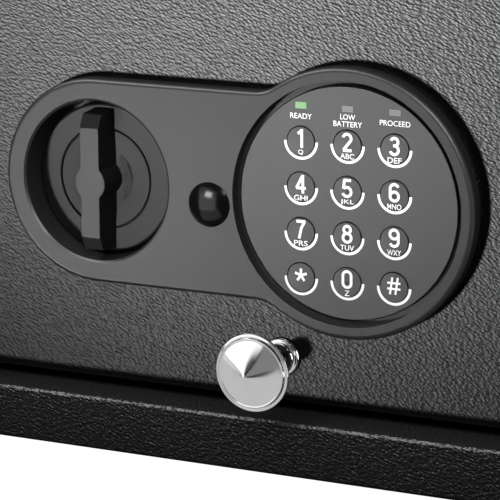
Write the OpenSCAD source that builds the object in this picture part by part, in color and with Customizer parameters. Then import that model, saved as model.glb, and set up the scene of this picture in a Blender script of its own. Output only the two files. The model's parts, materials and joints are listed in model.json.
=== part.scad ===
// Drawer safe: a steel case with a pull-out drawer, a keypad lock and a turning knob that drives six bolts.
// X runs to the right, Y into the safe and Z up. The origin is the middle of the underside. All in mm.

/* [Case] */
// Width of the case
case_w = 356; // [340:1:420]
// Depth of the case from its front frame to its back
case_d = 330; // [300:1:400]
// Height of the case
case_h = 228.6; // [222:0.2:280]
// Thickness of the case's sheet steel
case_sheet = 2; // [1.5:0.1:3]
// Outside radius of the case's folded corners
case_bend = 3.5; // [3.2:0.1:6]
// Width of the front frame's face round the opening
frame_face = 22.4; // [20:0.2:26]
// Thickness of the front frame's sheet steel
frame_sheet = 2; // [1.5:0.1:2.5]
// Radius of the fold at the opening's front edge
frame_bend = 1.6; // [0.8:0.1:2]
// Corner radius of the opening
opening_corner = 4; // [3:0.5:8]
// Gap between the frame's strike and the bolts behind it
strike_gap = 1.5; // [0.5:0.1:3]
// Depth of the folded edge round the back panel
back_flange = 12; // [8:1:18]
// Diameter of the anchor holes
anchor_hole_d = 9.5; // [6:0.5:12]
// Distance between the floor anchor holes, side to side
floor_anchor_x = 220; // [160:5:240]
// Distance between the floor anchor holes, front to back
floor_anchor_y = 160; // [120:5:200]
// Distance between the two back anchor holes
wall_anchor_x = 200; // [140:5:230]
// Height of the back anchor holes above the floor
wall_anchor_z = 170; // [155:1:190]
// Diameter of the rubber buffers that stop the closed drawer
buffer_d = 14; // [10:1:20]
// Length of the rubber buffers
buffer_len = 22.7; // [18:0.1:28]

/* [Drawer front] */
// How far the drawer front stands behind the frame
door_recess = 17; // [12:0.5:20]
// Gap round the drawer front
door_gap = 3.5; // [2:0.1:4.5]
// Thickness of the drawer front's sheet steel
door_sheet = 2.5; // [2:0.1:3]
// Depth of the drawer front's folded sides
door_flange = 36; // [35:0.5:40]
// Width of the lip folded in behind them
door_lip = 10; // [7:0.5:12]
// Radius of the fold round the drawer front
door_bend = 1.8; // [0.8:0.1:2.4]
// Corner radius of the drawer front
door_corner = 3; // [2.6:0.1:4]

/* [Drawer tray and runners] */
// Height of the tray
tray_h = 122; // [115:1:140]
// Thickness of the tray's sheet steel
tray_sheet = 1.5; // [1:0.1:2]
// Height of the hem folded over on the tray's top edges
tray_hem = 8; // [5:0.5:12]
// Gap under the tray, above the drawer front's lower edge
tray_lift = 2; // [1:0.1:4]
// Thickness of the felt mat in the tray
mat_t = 3; // [2:0.1:5]
// Thickness of a ball-bearing runner, from the tray to the bracket
runner_t = 12.7; // [12:0.1:14]
// Height of the runner's outer rail
runner_h = 35.2; // [34:0.2:38]
// Thickness of the runner's rails
runner_wall = 1.6; // [1.4:0.1:1.8]
// Gap between the opening's edge and the runners
runner_side_gap = 4.9; // [4:0.1:7]
// Height of the runners above the floor
runner_z = 75; // [65:1:100]
// How far the drawer pulls out
drawer_travel = 190; // [160:5:200]
// Diameter of the bearing balls
ball_d = 5; // [4.8:0.1:5.2]
// Distance between the balls in a cage
ball_pitch = 14; // [10:1:16]

/* [Lock housing] */
// How far the housing stands out from the drawer front
housing_t = 6; // [5.6:0.1:7]
// Drop of the knob's axis and the keypad's middle below the middle of the drawer front
lock_drop = 4.2; // [1:0.1:6]
// Radius of the housing's round end at the knob
housing_knob_r = 42.2; // [41:0.1:44]
// Radius of the housing's round end at the keypad
housing_keypad_r = 54.2; // [53.5:0.1:57]
// Radius of the hollow curve between the two
housing_fillet = 15; // [8:0.5:20]
// Radius of the housing's front edge
housing_edge = 2; // [0.6:0.1:2.2]
// Diameter of the housing's fixing screws
housing_screw_d = 3; // [2.5:0.1:3.4]

/* [Knob] */
// Distance from the left side of the drawer front to the knob's axis
knob_side = 71.3; // [68:0.1:73]
// Width of the housing's face round the dish
dish_rim = 8.8; // [8.2:0.1:9.2]
// Depth of the dish below the housing's face
dish_depth = 14.6; // [14.2:0.1:15]
// Thickness of the dish's wall
dish_wall = 2; // [1.6:0.1:2.2]
// Gap between the dish and the knob's disc, at the housing's face
knob_side_gap = 2.6; // [1.9:0.1:3.9]
// Thickness of the knob's disc
knob_disc_t = 5; // [4.5:0.1:5.2]
// Distance from the knob's rim to the groove in its face
knob_groove_inset = 10.1; // [7:0.1:12]
// Width of the grip bar
grip_w = 8.7; // [7:0.1:11]
// Distance from the knob's rim to the end of the grip bar's flat face
grip_inset = 8.2; // [7.2:0.1:10]
// Height of the grip bar above the disc
grip_h = 13.2; // [10:0.1:16]
// Radius of the round boss in the middle of the grip bar
grip_boss_r = 7; // [6:0.1:9]
// Diameter of the knob's shaft
shaft_d = 8; // [7:0.1:8.4]

/* [Keypad] */
// Distance from the knob's axis to the keypad's middle
keypad_pitch = 111.1; // [108:0.1:114]
// Radius of the keypad's face
keypad_r = 46.6; // [46.2:0.1:47.2]
// Width of the groove round the keypad's face
keypad_groove = 2.3; // [1:0.1:2.4]
// How far the keypad's face lies behind the housing's face
keypad_sink = 2.7; // [2:0.1:3]
// Thickness of the keypad's face
keypad_face_t = 2; // [1.6:0.1:2.4]
// Diameter of the keys
key_d = 12.15; // [11:0.05:13]
// Distance between keys, side to side
key_pitch_x = 20; // [18:0.1:21]
// Distance between keys, up and down
key_pitch_z = 18.23; // [17:0.01:18.6]
// Height of the top row of keys above the keypad's middle
key_top_z = 23.35; // [21:0.05:24]
// How far a key goes in
key_travel = 1; // [0.6:0.1:1.2]
// Width of the lamps
lamp_w = 4.8; // [4:0.1:6]
// Height of the lamps
lamp_h = 2.6; // [2:0.1:3]
// Height of the lamps above the keypad's middle
lamp_z = 37.6; // [36:0.1:38]

/* [Key lock] */
// Distance from the knob's axis to the key lock
keylock_pitch = 51.8; // [50:0.1:52.4]
// Drop of the key lock below the knob's height
keylock_drop = 5; // [0:0.1:6]
// Radius of the domed cap over the key lock
cap_r = 9.3; // [8.6:0.1:9.8]
// Height of the cap's dome
cap_dome = 3.4; // [2:0.1:5]
// Radius of the key lock's barrel
barrel_r = 8; // [7.4:0.1:8.2]
// Radius of the key lock's plug
plug_r = 5.5; // [4.5:0.1:6]
// Reach of the cam behind the key lock
cam_len = 16; // [12:0.5:18]

/* [Pull knob] */
// Height of the pull knob above the floor
pull_z = 44.2; // [43:0.1:50]
// Diameter of the pull knob's face
pull_d = 31.75; // [25:0.05:34]
// Distance from the drawer front to the pull knob's rim
pull_rim = 27.3; // [22:0.1:32]
// Height of the cone on the pull knob's face
pull_cone = 7.2; // [3:0.1:9]
// Diameter of the pull knob's foot
pull_foot_d = 16; // [13:0.1:19]

/* [Bolt work] */
// Diameter of the bolts
bolt_d = 14; // [10:0.5:14]
// Distance between the bolts, up and down
bolt_pitch = 34; // [28:1:36]
// Distance from the knob's axis to the crank pins
crank_r = 12; // [11.5:0.1:12.2]
// Diameter of the crank pins
crank_pin_d = 4; // [3.6:0.1:4.2]
// Radius of the crank plate
crank_plate_r = 24; // [23:0.5:25]
// Thickness of the bolt plates and the crank plate
link_t = 2.5; // [2:0.1:2.6]
// Diameter of the guide studs
stud_d = 6; // [5:0.1:6.4]
// Width of the long bar that carries the right bolts' push
link_bar_h = 12; // [11:0.5:13]

/* [Solenoid] */
// Diameter of the solenoid's plunger
plunger_d = 6; // [5:0.1:6.4]
// How far the plunger drops into the crank plate
plunger_travel = 5.2; // [4:0.1:5.4]
// Height of the solenoid's frame
solenoid_h = 30; // [24:0.5:34]
// Width of the solenoid's frame
solenoid_w = 22; // [19:0.5:26]
// Diameter of the spring's wire
spring_wire_d = 0.8; // [0.6:0.05:1]
// Turns of the spring
spring_turns = 4; // [3:1:5]

/* [Battery compartment] */
// Distance from the keypad's middle to the battery compartment's
battery_pitch = 24.7; // [20:0.1:30]
// Length of one battery
battery_len = 50.5; // [48:0.1:52]
// Diameter of one battery
battery_d = 14.2; // [13.5:0.1:14.6]
// Thickness of the battery compartment's walls
battery_wall = 1.5; // [1.2:0.1:2]
// How far the reset button goes in
reset_travel = 1.5; // [1:0.1:2]
// Diameter of the reset button
reset_d = 8; // [6:0.5:10]

/* [Hidden] */
$fn = 64;

// Clearances
seat_gap = 0.3;      // between pieces that only stand next to each other
slide_gap = 0.1;     // between plates that slide on each other
fit_gap = 0.05;      // between a shaft and its bore
screw_gap = 0.2;     // round a screw's shank in a clearance hole
cut = 1;             // how far a cutter passes the face that it opens

// Planes along Y, from the front of the safe to its back
front_y = -case_d / 2;
back_y = case_d / 2;
door_y = front_y + door_recess;
door_back_y = door_y + door_sheet;
lip_back_y = door_y + door_flange;
cover_t = 1.5;
cover_back_y = lip_back_y + cover_t;
tray_front_y = cover_back_y;
tray_back_y = back_y - case_sheet - buffer_len - seat_gap;

// The case's opening and the drawer front that fills it
mid_z = case_h / 2;
open_w = case_w - 2 * frame_face;
open_h = case_h - 2 * frame_face;
door_w = open_w - 2 * door_gap;
door_h = open_h - 2 * door_gap;
door_low_z = mid_z - door_h / 2;

// The places of the lock's parts, from the drawer front's left side and its middle height
lock_z = mid_z - lock_drop;
knob_x = knob_side - door_w / 2;
keypad_x = knob_x + keypad_pitch;
keylock_x = knob_x + keylock_pitch;
battery_x = keypad_x + battery_pitch;
dish_r = housing_knob_r - dish_rim;
knob_r = dish_r - knob_side_gap;
knob_groove_r = knob_r - knob_groove_inset;
grip_len = 2 * (knob_r - grip_inset);

// The lock's planes, as heights out from the drawer front, so that those behind it are negative
dish_floor = housing_t - dish_depth;
dish_floor_t = 2.4;
keypad_front = housing_t - keypad_sink;
keypad_ledge = keypad_front - keypad_face_t;
knob_gap = 1.1;
knob_back = dish_floor + knob_gap;
knob_front = knob_back + knob_disc_t;
key_proud = 0.2;
key_flange_t = 0.8;
key_flange_r = key_d / 2 + 0.95;
key_back = keypad_ledge - slide_gap - key_flange_t;
key_stem = 0.3;
dome_h = 0.6;
board_front = key_back - key_stem - key_travel - slide_gap - dome_h;
board_t = 1.6;
board_r = keypad_r - 2.3;
board_hole_r = board_r + 0.7;

// The bolt work's planes, also as heights out from the drawer front
bush_back = dish_floor - dish_floor_t - 2;
plate_front = bush_back - 0.5;
plate_back = plate_front - link_t;
crank_front = plate_back - seat_gap;
crank_back = crank_front - link_t;
rivet_r = 4.5;
rivet_t = 1.5;
bolt_axis = plate_back - 0.5 - rivet_r;
strike_y = door_y - bolt_axis - bolt_d / 2 - strike_gap;

// The bolt work's places, seen from the front
bolt_travel = 2 * crank_r * sin(45);
pin_off = crank_r * sin(45);
bolt_flange_gap = 3.1;
bolt_flange_x = door_w / 2 - door_sheet - bolt_travel - bolt_flange_gap;
bolt_tip_x = door_w / 2 + 0.5;
spine_w = bolt_travel + stud_d + 6;
spine_end = 14;
spine_h = 2 * (bolt_pitch + spine_end);
spine_in_x = bolt_flange_x - link_t - spine_w;
stud_x = bolt_flange_x - link_t - stud_d / 2 - 3;
stud_rise = bolt_pitch + 1;
slot_gap = 0.3;
pin_slot_gap = 0.5;
link_bar_z = -crank_r - 2 * crank_pin_d - link_bar_h / 2;
bar_stud_x = keylock_x - 11;

// The solenoid stands above the crank plate
plunger_y = door_y - (crank_front + crank_back) / 2;
notch_gap = 0.8;
notch_depth = plunger_travel + notch_gap;
plunger_tip_z = lock_z + crank_plate_r + slide_gap + seat_gap;
collar_z = plunger_tip_z + plunger_travel + slide_gap;
collar_t = 1.2;
collar_r = plunger_d / 2 + 1.8;
spring_len = 6;
solenoid_gap = 1.5;
solenoid_z = max(collar_z + collar_t + spring_len, lock_z + dish_r + dish_wall + solenoid_gap);
solenoid_plate = 1.5;
cheek_r = solenoid_w / 2 - solenoid_plate - slide_gap;
coil_r = cheek_r - 0.8;

// The battery compartment hangs on the mechanism cover
battery_count = 4;
cell_pitch = battery_d + 0.4;
battery_in_w = battery_count * cell_pitch + 0.4;
battery_in_h = battery_len + 2.4;
battery_z = lock_z + 12;
battery_y = lip_back_y - battery_d / 2 - 0.4;
battery_front_y = battery_y - battery_d / 2 - 0.4 - battery_wall;
reset_gap = 22;
reset_x = battery_x - battery_in_w / 2 - reset_gap;
reset_switch_h = 7;

// The tray and its runners
tray_half = open_w / 2 - runner_side_gap - runner_t;
tray_z = door_low_z + tray_lift;
tray_flange = door_lip;
runner_front_y = tray_front_y + 4.5;
runner_len = tray_back_y - runner_front_y;
inner_rail_h = runner_h - 2 * (runner_wall + ball_d) + 2.2 * runner_race();
cage_end = 7;
cage_len = 3 * ball_pitch + 2 * cage_end;
cage_front_y = runner_front_y + 1 + drawer_travel / 2;
cage_t = 0.8;
cage_web_x = runner_t / 2 + ball_d / 2 + 0.15;
runner_head_h = 1.2;
bracket_t = 2;
screw_pitch = runner_len / 3;
runner_screw_d = 3.5;
runner_hole_d = runner_screw_d + 2 * screw_gap;

// The raceways are this deep, so that the balls stay in line
function runner_race() = 0.5;
// Height of a ball's middle above the middle of its runner
function ball_rise() = runner_h / 2 - runner_wall + runner_race() - ball_d / 2 - fit_gap;

steel_black = "#3a3a3c";
plastic_black = "#2b2b2d";
zinc = "#b9bcc0";
chrome = "#d8dadd";
rubber_black = "#1c1c1e";

// Puts its child on the plane at Y, facing the front, with the child's X to the right and its Y up
module facing(x, y, z) translate([x, y, z]) rotate([90, 0, 0]) children();

// Puts its child on the drawer front at the lock's height
module on_door(x, z = lock_z) facing(x, door_y, z) children();

// Copies its child to the left and the right
module both_sides() {
    children();
    mirror([1, 0, 0]) children();
}

module rounded_rect(w, h, r) {
    square([w - 2 * r, h], center = true);
    square([w, h - 2 * r], center = true);
    for (sx = [-1, 1], sy = [-1, 1])
        translate([sx * (w / 2 - r), sy * (h / 2 - r)]) circle(r);
}

// A round-ended slot along X, from its first centre to its last
module slot_2d(length, r) {
    translate([0, -r]) square([length, 2 * r]);
    for (x = [0, length]) translate([x, 0]) circle(r);
}

// What a fold of radius r takes off a square edge, with the corner at the origin
module fold_section(r, side) {
    scale([side, 1]) difference() {
        translate([-cut / 2, -r]) square([r + cut / 2, r + cut / 2]);
        translate([r, -r]) circle(r);
    }
}

// Rounds the front edge of an outline: side 1 is an opening's edge and side -1 an outer edge
module fold_cutter(w, h, corner, r, side) {
    for (turn = [0, 180]) rotate([0, 0, turn]) {
        translate([w / 2, h / 2 - corner, 0]) rotate([90, 0, 0])
            linear_extrude(h - 2 * corner) fold_section(r, side);
        translate([-w / 2 + corner, h / 2, 0]) rotate([90, 0, 90])
            linear_extrude(w - 2 * corner) fold_section(r, side);
        for (across = [0, 1]) mirror([across, 0, 0])
            translate([w / 2 - corner, h / 2 - corner, 0]) rotate_extrude(angle = 90)
                translate([corner, 0]) fold_section(r, side);
    }
}

// A pan-head screw that points along -Z from its head's seat at the origin
module pan_screw(d, length, head_h) {
    head_r = d * 0.93;
    recess = d * 0.22;
    difference() {
        union() {
            translate([0, 0, -length]) cylinder(h = length + head_h / 2, r = d / 2 - fit_gap);
            cylinder(h = head_h, r1 = head_r, r2 = head_r * 0.75);
        }
        for (a = [0, 90]) rotate([0, 0, a])
            translate([0, 0, head_h]) cube([head_r, recess, head_h], center = true);
    }
}

module anchor_holes(spacing_x, spacing_y, t) {
    ys = spacing_y > 0 ? [-spacing_y / 2, spacing_y / 2] : [0];
    for (x = [-spacing_x / 2, spacing_x / 2], y = ys)
        translate([x, y, -cut]) cylinder(h = t + 2 * cut, d = anchor_hole_d);
}

module case_shell() color(steel_black) difference() {
    facing(0, back_y, mid_z) linear_extrude(case_d - frame_sheet) difference() {
        rounded_rect(case_w, case_h, case_bend);
        rounded_rect(case_w - 2 * case_sheet, case_h - 2 * case_sheet, case_bend - case_sheet);
    }
    anchor_holes(floor_anchor_x, floor_anchor_y, case_sheet);
}

module back_panel() color(steel_black) {
    pan_w = case_w - 2 * case_sheet;
    pan_h = case_h - 2 * case_sheet;
    pan_r = case_bend - case_sheet;
    difference() {
        facing(0, back_y, mid_z) linear_extrude(case_sheet + back_flange) rounded_rect(pan_w, pan_h, pan_r);
        facing(0, back_y - case_sheet, mid_z) linear_extrude(back_flange + cut)
            square([pan_w - 2 * case_sheet, pan_h - 2 * case_sheet], center = true);
        facing(0, back_y, wall_anchor_z) anchor_holes(wall_anchor_x, 0, case_sheet);
    }
}

module front_frame() color(steel_black) {
    return_depth = strike_y - front_y;
    strike_w = (case_w - open_w) / 2 - case_sheet;
    strike_h = open_h - 2 * opening_corner;
    difference() {
        union() {
            facing(0, front_y + frame_sheet, mid_z) linear_extrude(frame_sheet)
                rounded_rect(case_w, case_h, case_bend);
            facing(0, strike_y, mid_z) linear_extrude(return_depth - frame_sheet) rounded_rect(
                open_w + 2 * frame_sheet, open_h + 2 * frame_sheet, opening_corner + frame_sheet);
            both_sides() translate([open_w / 2, strike_y - frame_sheet, mid_z - strike_h / 2])
                cube([strike_w, frame_sheet, strike_h]);
        }
        facing(0, strike_y + cut, mid_z) linear_extrude(return_depth + 2 * cut)
            rounded_rect(open_w, open_h, opening_corner);
        facing(0, front_y, mid_z) fold_cutter(open_w, open_h, opening_corner, frame_bend, 1);
        facing(0, front_y, mid_z) fold_cutter(case_w, case_h, case_bend, frame_bend, -1);
    }
}

// The brackets are folded channels that carry the runners out from the case's sides
module runner_brackets() color(zinc) both_sides() {
    reach = case_w / 2 - case_sheet - tray_half - runner_t;
    translate([tray_half + runner_t, runner_front_y, runner_z]) difference() {
        translate([0, 0, -runner_h / 2]) cube([reach, runner_len, runner_h]);
        translate([bracket_t, -cut, -runner_h / 2 + bracket_t])
            cube([reach, runner_len + 2 * cut, runner_h - 2 * bracket_t]);
        for (n = [0.5:2.5]) translate([-cut, n * screw_pitch, 0]) rotate([0, 90, 0])
            cylinder(h = bracket_t + 2 * cut, d = runner_hole_d);
    }
}

// Half of a rail's section above the runner's middle: X is out from the tray and Y is up
module outer_rail_section() {
    lip_x = 2.5;
    difference() {
        union() {
            translate([runner_t - runner_wall, 0]) square([runner_wall, runner_h / 2]);
            translate([lip_x, runner_h / 2 - runner_wall]) square([runner_t - lip_x, runner_wall]);
        }
        translate([runner_t / 2, ball_rise()]) circle(ball_d / 2 + fit_gap);
    }
}

module inner_rail_section() {
    lip_x = cage_web_x - seat_gap;
    top = ball_rise() - ball_d / 2 - fit_gap + runner_race();
    difference() {
        union() {
            square([runner_wall, top]);
            translate([0, top - runner_wall]) square([lip_x, runner_wall]);
        }
        translate([runner_t / 2, ball_rise()]) circle(ball_d / 2 + fit_gap);
    }
}

// Extrudes a rail section along the runner's length, above and below its middle
module rail(length) translate([tray_half, runner_front_y + length, runner_z])
    for (flip = [0, 1]) mirror([0, 0, flip]) rotate([90, 0, 0]) linear_extrude(length) children();

module case_runners() color(zinc) both_sides() difference() {
    rail(runner_len) outer_rail_section();
    for (n = [0.5:2.5])
        translate([tray_half + runner_t - runner_wall - cut, runner_front_y + n * screw_pitch, runner_z])
            rotate([0, 90, 0]) cylinder(h = runner_wall + 2 * cut, d = runner_hole_d);
}

module case_runner_screws() color(zinc) both_sides() for (n = [0.5:2.5])
    translate([tray_half + runner_t - runner_wall, runner_front_y + n * screw_pitch, runner_z])
        rotate([0, -90, 0]) pan_screw(runner_screw_d, runner_wall + bracket_t + 3, runner_head_h);

module drawer_runners() color(zinc) both_sides() difference() {
    rail(runner_len) inner_rail_section();
    for (n = [0.5:2.5]) translate([tray_half - cut, runner_front_y + (n + 0.25) * screw_pitch, runner_z])
        rotate([0, 90, 0]) cylinder(h = runner_wall + 2 * cut, d = runner_hole_d);
}

module drawer_runner_screws() color(zinc) both_sides() for (n = [0.5:2.5])
    translate([tray_half + runner_wall, runner_front_y + (n + 0.25) * screw_pitch, runner_z])
        rotate([0, 90, 0]) pan_screw(runner_screw_d, runner_wall + tray_sheet + 1, runner_head_h);

module each_ball() for (n = [0:3], side = [-1, 1])
    translate([runner_t / 2, cage_end + n * ball_pitch, side * ball_rise()]) children();

// The cage is a thin channel with a hole for each ball, half-way between the rails
module runner_cages() color(zinc) both_sides() translate([tray_half, cage_front_y, runner_z]) {
    lip_x = runner_t / 2 - ball_d / 2 - 1.2;
    half_h = ball_rise() + cage_t / 2;
    difference() {
        translate([lip_x, 0, -half_h]) cube([cage_web_x + cage_t - lip_x, cage_len, 2 * half_h]);
        translate([lip_x - cut, -cut, -half_h + cage_t])
            cube([cage_web_x - lip_x + cut, cage_len + 2 * cut, 2 * (half_h - cage_t)]);
        each_ball() cylinder(h = 2 * ball_d, d = ball_d + 0.2, center = true);
    }
}

module runner_balls() color(chrome) both_sides() translate([tray_half, cage_front_y, runner_z])
    each_ball() sphere(d = ball_d);

module rear_buffers() color(rubber_black) both_sides()
    facing(tray_half - 2 * buffer_d, back_y - case_sheet, tray_z + tray_h / 2) {
        cylinder(h = buffer_len - 2, d = buffer_d);
        translate([0, 0, buffer_len - 2]) cylinder(h = 2, d1 = buffer_d, d2 = buffer_d - 3);
    }

// Places of the screws that hold the housing, measured from the drawer's middle and the lock's height
housing_screw_places = concat(
    [for (a = [115, 180, 245]) [knob_x + (housing_knob_r + dish_r + dish_wall) / 2 * cos(a),
                                (housing_knob_r + dish_r + dish_wall) / 2 * sin(a)]],
    [for (s = [-1, 1]) [keylock_x - 4, s * (housing_knob_r - 6)]],
    [for (a = [-72, 0, 72]) [keypad_x + (housing_keypad_r + keypad_r + keypad_groove - 0.3) / 2 * cos(a),
                             (housing_keypad_r + keypad_r + keypad_groove - 0.3) / 2 * sin(a)]]
);

module front_panel() color(steel_black) difference() {
    facing(0, lip_back_y, mid_z) linear_extrude(door_flange) rounded_rect(door_w, door_h, door_corner);
    facing(0, lip_back_y - door_sheet, mid_z) linear_extrude(door_flange - 2 * door_sheet)
        square([door_w - 2 * door_sheet, door_h - 2 * door_sheet], center = true);
    facing(0, lip_back_y + cut, mid_z) linear_extrude(door_sheet + 2 * cut)
        square([door_w - 2 * (door_sheet + door_lip), door_h - 2 * (door_sheet + door_lip)], center = true);
    facing(0, door_y, mid_z) fold_cutter(door_w, door_h, door_corner, door_bend, -1);
    translate([0, 0, lock_z]) door_holes();
    facing(0, door_back_y + cut, pull_z)
        cylinder(h = door_sheet + 2 * cut, d = pull_screw_d + 2 * screw_gap);
    both_sides() for (n = [-1:1])
        translate([door_w / 2 - door_sheet - cut, door_y - bolt_axis, lock_z + n * bolt_pitch])
            rotate([0, 90, 0]) cylinder(h = door_sheet + 2 * cut, d = bolt_d + 4 * fit_gap);
    cover_holes();
}

module door_holes() {
    facing(knob_x, door_back_y + cut, 0) cylinder(h = door_sheet + 2 * cut, r = dish_r + dish_wall + 0.5);
    facing(keypad_x, door_back_y + cut, 0) cylinder(h = door_sheet + 2 * cut, r = board_hole_r);
    facing(keylock_x, door_back_y + cut, -keylock_drop)
        cylinder(h = door_sheet + 2 * cut, r = barrel_r + screw_gap);
    for (p = housing_screw_places) facing(p[0], door_back_y + cut, p[1])
        cylinder(h = door_sheet + 2 * cut, d = housing_screw_d + 2 * screw_gap);
}

// Places of the screws that hold the mechanism cover, and of those that also hold the tray's flanges
lip_screw_places = [for (sx = [-1, 0, 1], sz = [-1, 1])
    [sx * (door_w / 2 - door_sheet - door_lip / 2), mid_z + sz * (door_h / 2 - door_sheet - door_lip / 2)]];
tray_screw_low = 32;
tray_screw_drop = 20;
tray_screw_places = [for (sx = [-1, 1], z = [tray_screw_low, tray_h - tray_screw_drop])
    [sx * (tray_half + tray_flange / 2), tray_z + z]];
cover_screw_d = 3;
cover_head_h = 1.8;
cover_hole_d = cover_screw_d + 2 * screw_gap;

module cover_holes() for (p = concat(lip_screw_places, tray_screw_places))
    facing(p[0], tray_front_y + tray_sheet + cut, p[1])
        cylinder(h = tray_sheet + cover_t + door_sheet + 2 * cut, d = cover_hole_d);

module mechanism_cover() color(steel_black) difference() {
    cover_edge = 2 * (door_sheet + 1);
    facing(0, cover_back_y, mid_z) linear_extrude(cover_t)
        rounded_rect(door_w - cover_edge, door_h - cover_edge, door_corner);
    facing(battery_x, cover_back_y + cut, battery_z) linear_extrude(cover_t + 2 * cut)
        square([battery_in_w, battery_in_h], center = true);
    facing(reset_x, cover_back_y + cut, battery_z)
        cylinder(h = cover_t + 2 * cut, d = reset_d + 2 * slide_gap);
    cover_holes();
}

module cover_screws() color(zinc) {
    for (p = lip_screw_places) translate([p[0], cover_back_y, p[1]]) rotate([-90, 0, 0])
        pan_screw(cover_screw_d, cover_t + door_sheet + 2, cover_head_h);
    for (p = tray_screw_places) translate([p[0], cover_back_y + tray_sheet, p[1]]) rotate([-90, 0, 0])
        pan_screw(cover_screw_d, tray_sheet + cover_t + door_sheet + 2, cover_head_h);
}

// The tray is open at its front, where its flanges stand against the mechanism cover
module drawer_tray() color(steel_black) {
    tray_len = tray_back_y - tray_front_y;
    flange_low = tray_z + 12;
    translate([-tray_half, tray_front_y, tray_z]) difference() {
        cube([2 * tray_half, tray_len, tray_h]);
        translate([tray_sheet, -cut, tray_sheet])
            cube([2 * (tray_half - tray_sheet), tray_len - tray_sheet + cut, tray_h]);
        for (x = [-cut, 2 * tray_half - tray_sheet - cut], n = [0.5:2.5])
            translate([x, runner_front_y - tray_front_y + (n + 0.25) * screw_pitch, runner_z - tray_z])
                rotate([0, 90, 0]) cylinder(h = tray_sheet + 2 * cut, d = runner_screw_d);
    }
    hem_z = tray_z + tray_h - tray_hem;
    both_sides() {
        translate([tray_half - 2 * tray_sheet, tray_front_y, hem_z])
            cube([tray_sheet, tray_len - tray_sheet, tray_hem]);
        difference() {
            translate([tray_half - tray_sheet, tray_front_y, flange_low])
                cube([tray_flange, tray_sheet, tray_z + tray_h - flange_low]);
            cover_holes();
        }
    }
    translate([-tray_half + tray_sheet, tray_back_y - 2 * tray_sheet, hem_z])
        cube([2 * (tray_half - tray_sheet), tray_sheet, tray_hem]);
}

module drawer_mat() color("#26272b") translate([0, (tray_front_y + tray_back_y) / 2, tray_z + tray_sheet])
    linear_extrude(mat_t) rounded_rect(2 * (tray_half - tray_sheet - 1), tray_back_y - tray_front_y - 6, 6);

// A round plate with a rounded front edge, turned through an angle
module housing_round(r, angle) rotate_extrude(angle = angle) {
    square([r - housing_edge, housing_t]);
    square([r, housing_t - housing_edge]);
    translate([r - housing_edge, housing_t - housing_edge]) circle(housing_edge);
}

// The straight part between the two round ends, with both long front edges rounded
module housing_straight() translate([knob_x, 0, 0]) rotate([90, 0, 90]) linear_extrude(keypad_x - knob_x) {
    half = housing_knob_r - housing_edge;
    translate([-half, 0]) square([2 * half, housing_t]);
    translate([-housing_knob_r, 0]) square([2 * housing_knob_r, housing_t - housing_edge]);
    for (s = [-1, 1]) translate([s * half, housing_t - housing_edge]) circle(housing_edge);
}

// Fills the corner where the straight part meets the keypad's round end, with a hollow curve that stands
// a hair proud of both, because faces that only touch can't be joined
module housing_hollow() {
    proud = 0.02;
    rise = housing_knob_r + housing_fillet;
    run = sqrt(pow(housing_keypad_r + housing_fillet, 2) - pow(rise, 2));
    hollow_x = keypad_x - run;
    difference() {
        linear_extrude(housing_t) polygon([[hollow_x, 0], [hollow_x, rise], [keypad_x, 0]]);
        translate([hollow_x, rise, 0]) rotate_extrude() {
            translate([0, -cut]) square([housing_fillet - proud, housing_t + 2 * cut]);
            translate([housing_fillet - proud, housing_t]) fold_section(housing_edge, 1);
        }
    }
}

module lock_housing() color(plastic_black) on_door(0) difference() {
    union() {
        translate([knob_x, 0, 0]) rotate([0, 0, 90]) housing_round(housing_knob_r, 180);
        housing_straight();
        translate([keypad_x, 0, 0]) housing_round(housing_keypad_r, 360);
        for (flip = [0, 1]) mirror([0, flip, 0]) housing_hollow();
        translate([knob_x, 0, dish_floor - dish_floor_t])
            cylinder(h = dish_floor_t - dish_floor + 1, r = dish_r + dish_wall);
    }
    translate([knob_x, 0, 0]) dish_cavity();
    translate([keypad_x, 0, -cut]) cylinder(h = housing_t, r = board_hole_r);
    translate([keypad_x, 0, keypad_ledge]) cylinder(h = housing_t, r = keypad_r + keypad_groove);
    translate([keylock_x, -keylock_drop, -cut]) {
        cylinder(h = housing_t + 2 * cut, r = cap_r - 1.7);
        cylinder(h = barrel_head_t + cut + seat_gap, r = barrel_head_r + seat_gap);
    }
    for (p = housing_screw_places) translate([p[0], p[1], -cut])
        cylinder(h = housing_t - 1.5 + cut, d = housing_screw_d);
}

module dish_cavity() {
    lip = 0.6;
    rotate_extrude() polygon([
        [0, dish_floor], [dish_r - 1, dish_floor], [dish_r - lip / 2, housing_t - lip],
        [dish_r + lip, housing_t], [dish_r + lip, housing_t + cut], [0, housing_t + cut]
    ]);
    translate([0, 0, dish_floor - dish_floor_t - cut])
        cylinder(h = dish_floor_t + 2 * cut, r = bush_r + fit_gap / 2);
}

housing_head_h = 1.8;

module housing_screws() color(zinc) on_door(0) for (p = housing_screw_places)
    translate([p[0], p[1], -door_sheet]) rotate([180, 0, 0])
        pan_screw(housing_screw_d, door_sheet + housing_t - 2.5, housing_head_h);

// Each key's column and row, from the middle column and the top row
key_cells = [for (row = [0:3], column = [-1:1]) [column, row]];
key_gap = 0.2;
lamp_gap = 0.1;
face_edge = 0.4;
function key_place(n) = [key_cells[n][0] * key_pitch_x, key_top_z - key_cells[n][1] * key_pitch_z];

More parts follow.
